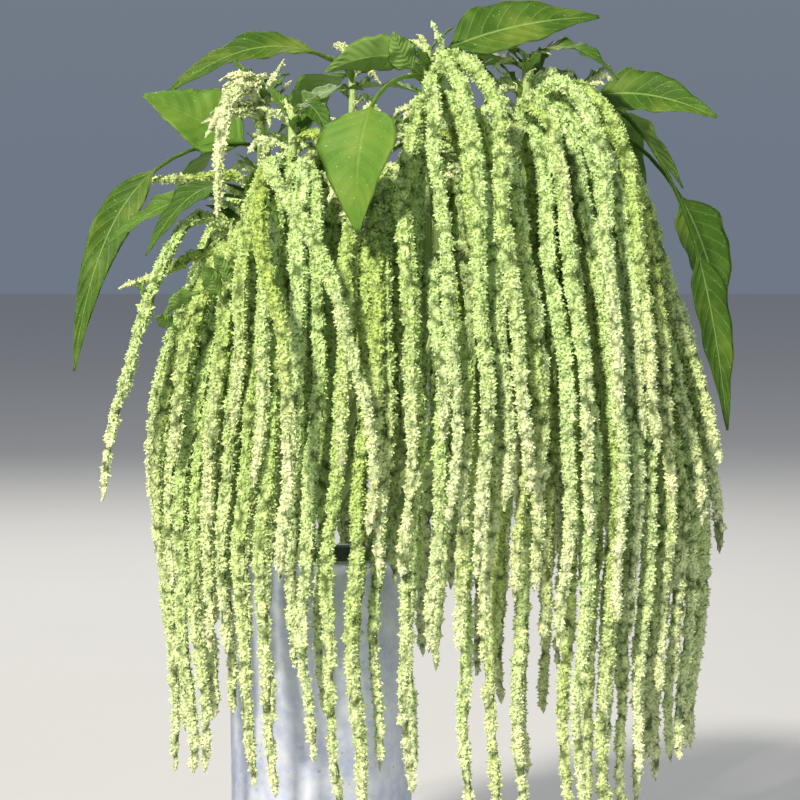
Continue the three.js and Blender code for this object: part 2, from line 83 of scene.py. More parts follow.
# How a hanging tassel leaves its collar: how far it lifts, and how far it has fallen where it hangs
# straight. On the right the tassels slope down over a longer fall, with hardly a shoulder.
ARCH = {
    "lift": 38,
    "low": 0.5,
    "high": 1.2,
    "fall": 235,
    "fall_share": 0.62,
    "shoulder": 0.3,
    "fan_share": 0.74,
    "fan_way": 0.8,
}
SLOPE = {**ARCH, "shoulder": 0.8, "fall": 300, "fall_share": 0.9}

# The small pointed leaves at a stem's tip: their count, their length, and their width as a share of it
BRACT = {"count": 5, "long": (20, 38), "width": 0.34}

# The short catkins that crowd a stem: how many stand beside its collar and above it, how far they reach,
# their radius, and the way in which they all lean
CATKINS = {
    "grown": {"round": 8, "above": 7, "reach": (26, 60), "radius": (4.4, 5.8), "toward": (0.0, 0.0)},
    "young": {"round": 20, "above": 18, "reach": (16, 34), "radius": (4.8, 6.0), "toward": (-0.75, -0.45)},
}

# The slow wave of the hanging tassels: how far, how long its waves are, and where in plan it begins
SWAY = {
    "across": 5,
    "deep": 4,
    "wave_across": 58,
    "wave_deep": 49,
    "drift": 130,
    "lag": 2,
    "from": 0.7,
    "to": 0.95,
}

# A leaf's stalk, the wave and the ruffle of its edges, its fold, and how far its midrib stands out
LEAF = {"stalk_radius": 1.4, "wave": 1.8, "ruffle": 1.1, "fold": 0.2, "midrib": 0.5}

# How many points a leaf has along its blade and across it, and from what width on it is painted fully lit,
# paler than the painted shade of narrower leaves
LEAF_GRID, SPRIG_GRID, BRACT_GRID = (30, 13), (14, 9), (10, 7)
LIT_LEAF_WIDTH = 60

# The blade's outline: stations along the blade, and the share of its full half width at each
BLADE_STATIONS = (0, 0.16, 0.36, 0.58, 0.8, 1)
BLADE_SHARES = (0, 0.78, 1, 0.8, 0.42, 0.06)

# Where each stem leans to in the curtain's plan: its angle round the curtain's middle in degrees, its
# share of the way out, the height of its top, and its foot's share of that place
STEMS = {
    "front_left": (-140, 0.68, 650, 0.36),
    "front_mid": (-109, 0.6, 636, 0.36),
    "front": (-93, 0.56, 694, 0.36),
    "front_right": (-52, 0.54, 692, 0.36),
    "right_front": (-16, 0.56, 672, 0.36),
    "right_back": (18, 0.54, 662, 0.36),
    "back_right": (53, 0.56, 676, 0.36),
    "back": (88, 0.54, 668, 0.36),
    "back_left": (124, 0.56, 694, 0.36),
    "left_back": (160, 0.68, 628, 0.36),
    "left_front": (197, 0.72, 590, 0.36),
    "young": (183, 0.65, 676, 0.18),
}

# Each spray grows from a collar on the stem of its own name, unless it names another. A row is its share
# of the way out, the angles that it runs between, and the heights of its tips. A reach is one tassel
# with a way of its own: the height that it leaves at, its radius, and the points that bend it.
SPRAYS = {
    "front_left": {
        "collar": (560, 612),
        "rows": [
            (1.05, -143, -117, [330, 410, 365, 300]),
            (0.7, -144, -116, [330, 290, 350]),
            (1, -146, -114, [235, 236, 135, 128, 292, 160]),
            (0.86, -146, -114, [240, 180, 225, 190]),
        ],
        "reaches": [
            (604, 7.5, [(-32, -128, 606), (-12, -182, 572), (14, -203, 510), (44, -205, 373)]),
            (598, 7.5, [(-38, -122, 600), (-40, -174, 545), (-28, -201, 470), (-18, -205, 363)]),
        ],
    },
    "front_mid": {
        "collar": (546, 598),
        "rows": [
            (1.05, -112, -100, [380, 330]),
            (1, -114, -98, [90, 100, 300]),
            (0.86, -111.5, -100.5, [110, 150]),
            (0.74, -115, -97, [310, 290]),
        ],
    },
    "front": {
        "collar": (604, 660),
        "rows": [
            (1.05, -97.5, -93.5, [300]),
            (1.05, -81, -67, [350, 290]),
            (0.7, -79, -67, [340, 280]),
            (1, -98, -92.7, [138]),
            (1, -82, -66, [235, 281, 365]),
            (0.86, -98, -91.6, [150]),
            (0.86, -78.8, -66, [70, 75]),
        ],
        "reaches": [
            (654, 9, [(102, -125, 688), (134, -162, 655), (144, -194, 575), (153, -200, 365)]),
            (648, 8.5, [(96, -134, 680), (118, -172, 640), (124, -199, 560), (119, -202, 300)]),
            (642, 8, [(86, -138, 668), (94, -178, 620), (99, -201, 540), (99, -203, 335)]),
            (656, 5, [(91, -112, 684), (94, -118, 700), (87, -122, 716)]),
        ],
    },
    "front_low": {
        "stem": "front",
        "collar": (503, 530),
        "rows": [
            (1.05, -92.2, -82.5, [400, 330]),
            (1, -92.7, -82, [242, 246]),
            (0.86, -91.6, -78.8, [225, 66]),
        ],
    },
    "front_right": {
        "collar": (610, 662),
        "rows": [
            (1.05, -64, -34, [330, 260, 400, 350]),
            (0.7, -64, -34, [280, 310, 260]),
            (1, -66, -32, [246, 70, 60, 250, 135, 200]),
            (0.86, -66, -32, [240, 60, 75, 62, 90]),
        ],
        "reaches": [
            (646, 6.5, [(158, -124, 652), (176, -150, 636), (188, -172, 600), (194, -178, 562)]),
            (652, 8.5, [(188, -112, 668), (214, -144, 615), (224, -160, 530), (226, -163, 420)]),
            (654, 8.5, [(205, -98, 664), (238, -122, 600), (251, -138, 510), (254, -141, 390)]),
        ],
    },
    "right_front": {
        "collar": (596, 646),
        "slopes": True,
        "rows": [
            (1.05, -30, 0, [330, 390, 300]),
            (0.7, -30, 0, [300, 270]),
            (1, -32, 2, [205, 142, 150, 185, 140]),
            (0.86, -32, 2, [110, 140, 120, 170]),
        ],
        "reaches": [(636, 7.5, [(226, -50, 646), (256, -62, 574), (288, -72, 474), (309, -77, 378)])],
    },
    "right_back": {
        "collar": (588, 636),
        "slopes": True,
        "rows": [
            (1.05, 4, 34, [350, 300]),
            (0.7, 4, 34, [310, 280]),
            (1, 2, 36, [160, 240, 120, 205, 150]),
            (0.86, 2, 36, [200, 110, 170]),
        ],
    },
    "back_right": {
        "collar": (600, 650),
        "rows": [
            (1.05, 38, 68, [330, 290, 370]),
            (0.7, 38, 68, [290, 320]),
            (1, 36, 70, [230, 130, 185, 260, 145, 210]),
            (0.86, 36, 70, [120, 190, 95]),
        ],
        "reaches": [(642, 8, [(180, 118, 652), (204, 148, 600), (214, 166, 520), (216, 169, 395)])],
    },
    "back": {
        "collar": (592, 642),
        "rows": [
            (1.05, 72, 104, [360, 300, 330]),
            (0.7, 72, 104, [300, 270, 330]),
            (1, 70, 106, [150, 265, 250, 190, 120, 230]),
            (0.86, 70, 106, [180, 245, 110]),
        ],
        "reaches": [
            (634, 8, [(96, 140, 646), (110, 176, 600), (116, 199, 520), (118, 202, 380)]),
            (626, 7.5, [(60, 140, 640), (46, 176, 590), (41, 200, 505), (40, 202, 410)]),
        ],
    },
    "back_left": {
        "collar": (580, 630),
        "rows": [
            (1.05, 108, 140, [310, 340, 420]),
            (0.7, 108, 140, [280, 320]),
            (1, 106, 142, [165, 240, 130, 270, 180, 215]),
            (0.86, 106, 142, [220, 150, 200]),
        ],
        "reaches": [(622, 8, [(-18, 122, 636), (-38, 154, 590), (-48, 176, 510), (-50, 180, 370)])],
    },
    "left_back": {
        "collar": (546, 594),
        "rows": [
            (1.05, 144, 176, [330, 390, 300]),
            (0.76, 146, 174, [330, 320]),
            (1, 142, 178, [240, 170, 285, 150, 220]),
            (0.86, 142, 178, [200, 250, 165]),
        ],
        "reaches": [(588, 5.5, [(-70, 26, 601), (-108, 17, 599), (-155, 13, 597)])],
    },
    "left_front": {
        "collar": (512, 560),
        "rows": [
            (1.05, 180, 212, [340, 300, 380]),
            (0.76, 182, 210, [325, 340]),
            (1, 178, 214, [126, 187, 278, 134, 140]),
            (0.86, 178, 214, [210, 170, 250, 180]),
        ],
        "reaches": [
            (550, 7, [(-100, -64, 566), (-136, -88, 500), (-151, -97, 430), (-162, -101, 350)]),
            (544, 5.5, [(-96, -44, 540), (-126, -50, 524), (-160, -54, 512)]),
        ],
    },
    "young": {
        "collar": (640, 668),
        "reaches": [
            (658, 7, [(-58, -42, 668), (-69, -64, 652), (-75, -77, 612), (-77, -79, 566)]),
            (662, 4.5, [(-56, -10, 678), (-64, -14, 690)]),
            (664, 4.5, [(-34, -16, 682), (-28, -24, 692)]),
            (655, 4.5, [(-30, -2, 668), (-22, 0, 678)]),
            (652, 4.5, [(-46, 10, 668), (-50, 18, 676)]),
        ],
    },
}

# Leaves: stem, the height it leaves at, its tip, how far its arch is lifted and where along its way,
# its width, the share of its length that is stalk, and its roll in degrees
LEAVES = {
    "front_left": [
        (646, (12, -122, 622), 34, 0.45, 22, 0.2, 20),
        (642, (34, -22, 668), 20, 0.45, 34, 0.2, 0),
    ],
    "front": [
        (674, (32, -192, 556), 140, 1.14, 66, 0.5, 0),
        (682, (6, -94, 678), 20, 0.45, 36, 0.25, 48),
        (688, (217, -62, 722), 16, 0.45, 50, 0.14, 48),
        (670, (58, -132, 706), -12, 0.8, 24, 0.3, 60),
        (684, (138, -86, 670), 14, 0.5, 34, 0.25, 40),
    ],
    "front_right": [
        (688, (230, -90, 672), 34, 0.5, 26, 0.2, 20),
        (680, (96, -14, 672), 30, 0.45, 36, 0.2, 0),
    ],
    "right_front": [
        (659, (309, -56, 645), 22, 0.45, 46, 0.14, 48),
        (666, (321, -32, 400), 190, 0.8, 32, 0.66, 62),
        (668, (112, -6, 684), 24, 0.45, 36, 0.2, 0),
    ],
    "right_back": [
        (660, (260, 22, 590), 44, 0.66, 44, 0.22, 35),
        (652, (322, 16, 480), 116, 0.8, 50, 0.58, 48),
        (652, (296, 88, 592), 48, 0.5, 36, 0.25, 0),
    ],
    "back_right": [
        (668, (244, 138, 650), 30, 0.45, 40, 0.18, 0),
        (672, (136, 176, 656), 28, 0.45, 32, 0.2, 0),
    ],
    "back": [
        (658, (84, 214, 556), 76, 0.6, 50, 0.28, 0),
        (664, (14, 156, 674), 18, 0.45, 32, 0.2, 0),
        (660, (84, 12, 690), 24, 0.45, 36, 0.2, 0),
    ],
    "back_left": [
        (686, (-130, 46, 664), 62, 0.45, 32, 0.22, -42),
        (690, (44, 62, 708), 12, 0.45, 24, 0.2, 45),
        (682, (-34, 190, 606), 66, 0.55, 42, 0.22, 0),
    ],
    "left_back": [
        (618, (-143, 30, 666), 4, 0.45, 62, 0.2, -58),
        (625, (-195, -18, 446), 174, 0.84, 30, 0.42, -62),
        (619, (-134, 112, 560), 62, 0.5, 34, 0.25, -10),
    ],
    "left_front": [
        (582, (-168, -44, 544), 34, 0.5, 25, 0.3, -35),
        (586, (-132, -88, 538), 50, 0.5, 28, 0.25, -20),
        (576, (20, -20, 600), 24, 0.45, 34, 0.2, 0),
    ],
}

# Small leaves that stand out between the tassels: foot, tip, lift, where it is lifted, width, the share
# that is stalk, and roll
SPRIGS = {
    "left_front": [
        ((-109, -84, 481), (-124, -101, 491), 4, 0.5, 13, 0.2, 60),
        ((-90, -104, 510), (-117, -108, 492), 8, 0.5, 17, 0.2, 50),
        ((-131, -88, 503), (-140, -98, 520), 2, 0.5, 6, 0.15, 20),
    ],
    "front_left": [
        ((-70, -130, 502), (-85, -153, 531), 5, 0.5, 16, 0.2, 60),
        ((-62, -122, 512), (-78, -136, 540), 3, 0.5, 13, 0.2, 30),
        ((-28, -150, 562), (-36, -168, 582), 2, 0.5, 7, 0.15, 0),
    ],
}

UP = np.array((0.0, 0.0, 1.0))

# The stage: half the floor's side in millimetres, and the place in metres that the camera and the lamps
# are turned to. A lamp has a name, a place, a width, the spread of its beam in degrees, its power in
# watts and its tint. The key lamp stands high at the left.
FLOOR_SIZE = 60000
VIEW_MIDDLE = (0.063, -0.09, 0.427)
LAMPS = (
    ("key", (-3.46, -6.91, 6.37), 1.0, 80, 242, "#fff6e6"),
    ("fill", (1.9, -1.5, 0.9), 1.6, 180, 7, "#f1f3f6"),
    ("back", (-0.6, 3.4, 3.0), 2.0, 180, 90, "#fbf5ea"),
)


def linear(code):
    """An sRGB hex colour as linear red, green and blue."""
    parts = [int(code[i : i + 2], 16) / 255 for i in (1, 3, 5)]
    return tuple(p / 12.92 if p <= 0.04045 else ((p + 0.055) / 1.055) ** 2.4 for p in parts)


def colour(name, code):
    """A colour property that starts from an sRGB hex value."""
    return bpy.props.FloatVectorProperty(
        name=name,
        description=f"{name}, {code} in sRGB",
        subtype="COLOR",
        size=3,
        min=0,
        max=1,
        default=linear(code),
    )


def length(name, description, default, low, high):
    """A length property in metres."""
    return bpy.props.FloatProperty(
        name=name,
        description=description,
        default=default,
        min=low,
        max=high,
        unit="LENGTH",
        precision=4,
    )


class BucketSettings(bpy.types.PropertyGroup):
    """Sizes and colours of the zinc bucket."""

    sides: bpy.props.IntProperty(
        name="Sides", description="Number of faces round the bucket", default=112, min=24, max=256
    )
    dent: length("Dents", "How deep the slow dents in the sheet are", 0.0005, 0, 0.003)
    seam_width: length("Seam width", "Width of the lapped side seam", 0.009, 0.002, 0.02)
    seam_height: length("Seam height", "How far the lapped seam stands proud", 0.0011, 0, 0.003)
    spangle: length("Spangle", "Width of the crystals in the zinc", 0.005, 0.002, 0.05)
    light: colour("Light zinc", "#e2e9fb")
    dark: colour("Dark zinc", "#b3bfdf")
    bloom: colour("Zinc bloom", "#f0eee6")
    dirt: colour("Splashed dirt", "#6b665a")


class SoilSettings(bpy.types.PropertyGroup):
    """Sizes and colours of the potting soil."""

    rough: length("Roughness", "How far the top is thrown up and down", 0.0022, 0, 0.006)
    crumb: length("Crumb", "Size of a crumb of compost", 0.0032, 0.001, 0.01)
    crumb_spacing: length("Crumb spacing", "Least distance between crumbs", 0.0042, 0.002, 0.02)
    dark: colour("Damp compost", "#2b2119")
    light: colour("Dry compost", "#5a4636")


class LeafSettings(bpy.types.PropertyGroup):
    """Sizes and colours of the stems and leaves."""

    thickness: length("Thickness", "Thickness of a leaf blade", 0.0007, 0.0003, 0.002)
    vein_pairs: bpy.props.FloatProperty(
        name="Vein pairs", description="Side veins on each half of a blade", default=9, min=3, max=20
    )
    # Painted light: leaf green is the lit colour of the leaves and the shaded leaf green their painted shade,
    # mixed per leaf by its tone
    green: colour("Leaf green", "#608730")
    shaded_leaf_green: colour("Shaded leaf green", "#3a5c14")
    under: colour("Underside", "#7b9c4e")
    yellow: colour("Sunned patches", "#86983a")
    vein: colour("Veins", "#8dab5c")
    dust: colour("Pale specks", "#d5e2b4")
    stem: colour("Stem green", "#adc87a")
    stem_rib: colour("Stem ribs", "#cfdfa6")


class TasselSettings(bpy.types.PropertyGroup):
    """Sizes and colours of the flower tassels."""

    core: bpy.props.FloatProperty(
        name="Core", description="Core's radius as a share of the tassel's", default=0.72, min=0, max=1
    )
    core_sides: bpy.props.IntProperty(
        name="Core sides", description="Number of faces round a tassel's core", default=6, min=5, max=16
    )
    ring_spacing: length("Ring spacing", "Distance between the core's rings", 0.0044, 0.002, 0.02)
    cluster: length("Cluster", "Width of one cluster of florets", 0.0072, 0.003, 0.02)
    bud: length("Bud", "Width of one bud on the axis", 0.0019, 0.0008, 0.01)
    cluster_depth: length("Cluster depth", "How far the clusters swell", 0.0037, 0, 0.005)
    floret_spacing: length("Floret spacing", "Least distance between florets", 0.00245, 0.001, 0.02)
    floret_height: length("Floret height", "Height of a floret", 0.0020, 0.001, 0.008)
    floret_width: length("Floret width", "From the middle of a floret to its corners", 0.0017, 0.0005, 0.005)
    tip: colour("Floret tips", "#e2efc9")
    flower: colour("Florets", "#c3e28b")
    # Painted shade, laid between the buds and deeper between the clumps
    shade: colour("Between the florets", "#344f12")
    old: colour("Old clusters", "#a9c254")
    young: colour("Young tips", "#e9f0bb")


class StageSettings(bpy.types.PropertyGroup):
    """The camera and the light."""

    lens: bpy.props.FloatProperty(
        name="Lens", description="Focal length", default=140.4, min=20, max=400, unit="CAMERA"
    )
    distance: length("Distance", "From the camera to the middle of the view", 2.4, 0.5, 10)
    tilt: bpy.props.FloatProperty(
        name="Tilt", description="How far the camera looks down", default=math.radians(3), unit="ROTATION"
    )
    floor: colour("Floor", "#c9cacb")
    wall: colour("Wall of the room", "#6f7886")
    ceiling: colour("Ceiling of the room", "#888d95")


def seeded(seed):
    """A run of random numbers from 0 to 1, the same on every machine."""
    state = seed
    while True:
        state = (state * 1664525 + 1013904223) & 0xFFFFFFFF
        yield state / 4294967296


def smoothstep(value, low, high):
    """From 0 to 1 between two limits, starting and ending softly."""
    t = np.clip((value - low) / (high - low), 0, 1)
    return t * t * (3 - 2 * t)


def unit(vector):
    """The same direction at length 1."""
    return vector / np.linalg.norm(vector, axis=-1, keepdims=True)


def square_to(vector, along):
    """The part of a vector that is square to another, at length 1."""
    return unit(vector - along * np.sum(vector * along, axis=-1, keepdims=True))


def place(angle, out, z):
    """A point of the plan, by its angle round the curtain and its share of the way out."""
    turn = math.radians(angle)
    x = CURTAIN["middle"] + out * CURTAIN["half_width"] * math.cos(turn)
    return np.array((x, out * CURTAIN["half_depth"] * math.sin(turn), z))


def swayed(points):
    """The slow wave that all hanging tassels share, nothing near the stems."""
    x, y, z = points.T
    out = np.hypot((x - CURTAIN["middle"]) / CURTAIN["half_width"], y / CURTAIN["half_depth"])
    much = smoothstep(out, SWAY["from"], SWAY["to"])
    across = SWAY["across"] * np.sin(z / SWAY["wave_across"] + x / SWAY["drift"])
    deep = SWAY["deep"] * np.sin(z / SWAY["wave_deep"] + (x + y) / SWAY["drift"] + SWAY["lag"])
    return np.column_stack((x + much * across, y + much * deep, z))


def stem_at(stem, z):
    """The stem's axis at a height: upright in the soil, then leaning out to its place."""
    angle, out, _, inward = stem
    head = place(angle, out, z)
    foot = np.array(((head[0] - CURTAIN["middle"]) * inward, head[1] * inward, z))
    return foot + (head - foot) * smoothstep(z, STEM["lean_from"], STEM["lean_to"])


def stem_radius(z):
    """A stem's radius at a height, full in the soil and slimmer towards its tip."""
    up = np.clip((z - SOIL["top"]) / STEM["taper_over"], 0, 1)
    return STEM["foot_radius"] + up * (STEM["tip_radius"] - STEM["foot_radius"])


def eased(t, start, end, start_slope, end_slope):
    """The smooth curve from a start to an end that leaves and arrives with the given slopes."""
    return (
        (2 * t**3 - 3 * t**2 + 1) * start
        + (t**3 - 2 * t**2 + t) * start_slope
        + (3 * t**2 - 2 * t**3) * end
        + (t**3 - t**2) * end_slope
    )


def evenly_spaced(points, spacing):
    """The same way with its points at even distances, and those distances."""
    steps = np.linalg.norm(np.diff(points, axis=0), axis=1)
    way = np.concatenate(((0,), np.cumsum(steps)))
    count = max(4, round(way[-1] / spacing))
    at = np.linspace(0, way[-1], count + 1)
    return np.column_stack([np.interp(at, way, points[:, i]) for i in range(3)]), at


def arch_way(root, angle, out, lift, tip, arch):
    """The way of a tassel that hangs in the curtain: up from its collar, over, and down."""
    hang = place(angle, out, 0)
    fall = min(arch["fall"], arch["fall_share"] * (root[2] - tip))
    fanned = place(angle, min(out, arch["fan_share"]), 0)
    over = root + (fanned - root) * arch["fan_way"]
    over[2] = root[2] + lift
    shoulder = np.array((hang[0], hang[1], root[2] - arch["shoulder"] * fall))
    straight = np.array((hang[0], hang[1], root[2] - fall))
    t = np.linspace(0, 1, 60)[:, None]
    bend = (1 - t) ** 3 * root + 3 * (1 - t) ** 2 * t * over + 3 * (1 - t) * t**2 * shoulder + t**3 * straight
    end = np.array([(hang[0], hang[1], tip)])
    return np.vstack((bend, end))


def reach_way(root, bends):
    """A smooth way through the root and the points that bend it."""
    p = [root] + [np.array(bend, float) for bend in bends]
    p = [2 * p[0] - p[1]] + p + [2 * p[-1] - p[-2]]
    t = np.linspace(0, 1, 24)[:, None]
    return np.vstack([eased(t, b, c, (c - a) / 2, (d - b) / 2) for a, b, c, d in zip(p, p[1:], p[2:], p[3:])])


def tassel_rope(way, radius, chance, fill, start=0.0):
    """One tassel as a rope: its points, and at each its core radius, age, place along and fill. One
    that is young all along has a start near 1."""
    points, at = evenly_spaced(way, TASSEL["step"])
    points = swayed(points)
    full = at[-1]
    along = at / full
    age, phase, bead = chance.random(), chance.random() * FULL_TURN, chance.random()
    hanging = smoothstep(at, 20, 90)
    points[:, 0] += TASSEL["waver"] * np.sin(at / 21 + phase) * hanging
    points[:, 1] += TASSEL["waver"] * np.cos(at / 17 + 2 * phase) * hanging

    # It starts thin, is lumpier with age, tapers, and ends round. One in five is beaded like a string.
    thin_root = 0.55 + 0.45 * smoothstep(at, 0, 40)
    lumps = 1 + (0.05 + 0.1 * age) * np.sin(at / 4.6 + phase) * np.sin(at / 11.3 + 3 * phase)
    beads = 0.72 + 0.32 * np.abs(np.sin(at / 5.1 + phase))
    round_tip = np.sqrt(np.clip((full - at) / 14, 0.02, 1))
    wide = radius * (1 - TASSEL["taper"] * smoothstep(along, TASSEL["taper_from"], 1))
    wide = wide * thin_root * lumps
    if bead > BEADED_FROM:
        wide *= beads
    wide *= round_tip
    return points, wide, np.full(len(at), age), np.maximum(along, start), np.full(len(at), fill)


def collar_rope(stem, low, high, chance):
    """The sleeve of flowers round the stem, as a short thick rope."""
    up = np.linspace(0, 1, 14)
    points = np.array([stem_at(stem, low + (high - low) * u) for u in up])
    wide = COLLAR["radius"] * np.interp(up, COLLAR["up"], COLLAR["wide"])
    age = np.full(len(up), chance.random())
    return points, wide, age, np.full(len(up), 0.1), np.ones(len(up))


def catkin_ways(stem, low, high, crowd, chance):
    """Short catkins that crowd a stem from its collar to its tip: their ways and radii."""
    tip = stem[2] - 2
    beside = chance.uniform(low, high, crowd["round"])
    heights = np.concatenate((beside, np.linspace(high, tip, crowd["above"])))
    for i, height in enumerate(heights):
        above = height > high
        turn = GOLDEN_TURN * i + chance.uniform(-0.4, 0.4)
        toward = crowd["toward"]
        away = np.array((math.cos(turn) + toward[0], math.sin(turn) + toward[1], 0.0))
        reach = chance.uniform(*crowd["reach"]) * (0.62 if above else 1)
        rise = chance.uniform(0.15, 0.7) if not above else chance.uniform(0.3, 1.0)
        droop = chance.uniform(0.2, 0.9) if not above else chance.uniform(-0.3, 0.5)
        root = stem_at(stem, height)
        way = reach_way(
            root,
            [
                root + reach * (0.35 * away + 0.5 * rise * UP),
                root + reach * (0.7 * away + (0.62 * rise - 0.25 * droop) * UP),
                root + reach * (0.95 * away + (0.5 * rise - 0.8 * droop) * UP),
            ],
        )
        yield way, chance.uniform(*crowd["radius"])


def spray_ropes(name, order):
    """All ropes of a spray: its collar, its rows of tassels, its reaches and its short catkins."""
    spray = SPRAYS[name]
    stem = STEMS[spray.get("stem", name)]
    low, high = spray["collar"]
    arch = SLOPE if spray.get("slopes") else ARCH
    draw = seeded(order + 1)
    chance = np.random.default_rng(order + 40)
    ropes = [collar_rope(stem, low, high, chance)]
    rows = spray.get("rows", ())
    for out, start, end, tips in rows:
        outer = out >= 1
        for i, tip in enumerate(tips):
            evenly = start + (i + 0.5) / len(tips) * (end - start)
            angle = evenly + LEAVING["jitter"] * (next(draw) - 0.5)
            level = LEAVING["outer" if outer else "inner"] + LEAVING["spread"] * next(draw)
            lift = arch["lift"] * (arch["low"] + (arch["high"] - arch["low"]) * next(draw))
            root = stem_at(stem, low + (high - low) * level)
            radius = TASSEL["thin"] + next(draw) * (TASSEL["thick"] - TASSEL["thin"])
            fill = 1 if out > 0.8 else 0.3
            way = arch_way(root, angle, out, lift, tip, arch)
            ropes.append(tassel_rope(way, radius, chance, fill))
    grown = bool(rows)
    for height, radius, bends in spray.get("reaches", ()):
        way = reach_way(stem_at(stem, height), bends)
        ropes.append(tassel_rope(way, radius, chance, 1, 0 if grown else 0.95))
    crowd = CATKINS["grown" if grown else "young"]
    for way, radius in catkin_ways(stem, low, high, crowd, chance):
        ropes.append(tassel_rope(way, radius, chance, 1, 0.75 if grown else 0.95))
    return ropes


def add(tree, kind, inputs=(), result=0, **settings):
    """Adds a node and gives its first output, the output that result names, or the node where result is
    None. A kind without Node in it is a shader node. The inputs, values or the sockets that feed them,
    stand in the order of the node's own, or are given by name or number."""
    node = tree.nodes.new(kind if "Node" in kind else f"ShaderNode{kind}")
    for name, value in settings.items():
        setattr(node, name, value)
    for key, value in inputs.items() if isinstance(inputs, dict) else enumerate(inputs):
        if isinstance(value, bpy.types.NodeSocket):
            tree.links.new(value, node.inputs[key])
        else:
            node.inputs[key].default_value = value
    return node if result is None else node.outputs[result]


def new_tree(name, sockets):
    """A geometry tree with its named inputs, and the sockets that give them."""
    tree = bpy.data.node_groups.new(name, "GeometryNodeTree")
    tree.interface.new_socket("Geometry", in_out="INPUT", socket_type="NodeSocketGeometry")
    for label, kind in sockets:
        tree.interface.new_socket(label, in_out="INPUT", socket_type=f"NodeSocket{kind}")
    tree.interface.new_socket("Geometry", in_out="OUTPUT", socket_type="NodeSocketGeometry")
    return tree, add(tree, "NodeGroupInput", result=None).outputs


def finished_tree(tree, mesh, placed, material):
    """Ends a geometry tree: a mesh joined with what is placed on it, made real and given its material."""
    both = add(tree, "GeometryNodeJoinGeometry", result=None)
    tree.links.new(placed, both.inputs[0])
    tree.links.new(mesh, both.inputs[0])
    whole = add(tree, "GeometryNodeRealizeInstances", (both.outputs[0],))
    whole = add(tree, "GeometryNodeSetShadeSmooth", {"Geometry": whole, "Shade Smooth": False})
    whole = add(tree, "GeometryNodeSetMaterial", {"Geometry": whole, "Material": material})
    add(tree, "NodeGroupOutput", (whole,), None)
    return tree


def settle(piece, tree, values):
    """Runs a geometry tree on a piece and keeps the result as its plain mesh."""
    modifier = piece.modifiers.new("settle", "NODES")
    modifier.node_group = tree
    for item in tree.interface.items_tree:
        if item.in_out == "INPUT" and item.name in values:
            modifier[item.identifier] = values[item.name]
    result = piece.evaluated_get(bpy.context.evaluated_depsgraph_get())
    mesh = bpy.data.meshes.new_from_object(result)
    piece.modifiers.remove(modifier)
    before = piece.data
    piece.data = mesh
    bpy.data.meshes.remove(before)
    mesh.name = piece.name


def pointed_floret(height, width):
    """One three-sided pointed floret, its foot sunk in the core. Its points carry how near the tip they
    are."""
    thirds = (0, 2.094, 4.189)
    foot = [(width * math.cos(turn), width * math.sin(turn), -0.25 * height) for turn in thirds]
    points = [(0.25 * width, 0, height), *foot]
    faces = [(0, 1, 2), (0, 2, 3), (0, 3, 1), (1, 3, 2)]
    piece = new_piece("pointed_floret", [tuple(part / MM for part in point) for point in points], faces)
    paint(piece.data, "tip", [1, 0.2, 0.2, 0.2])
    return piece


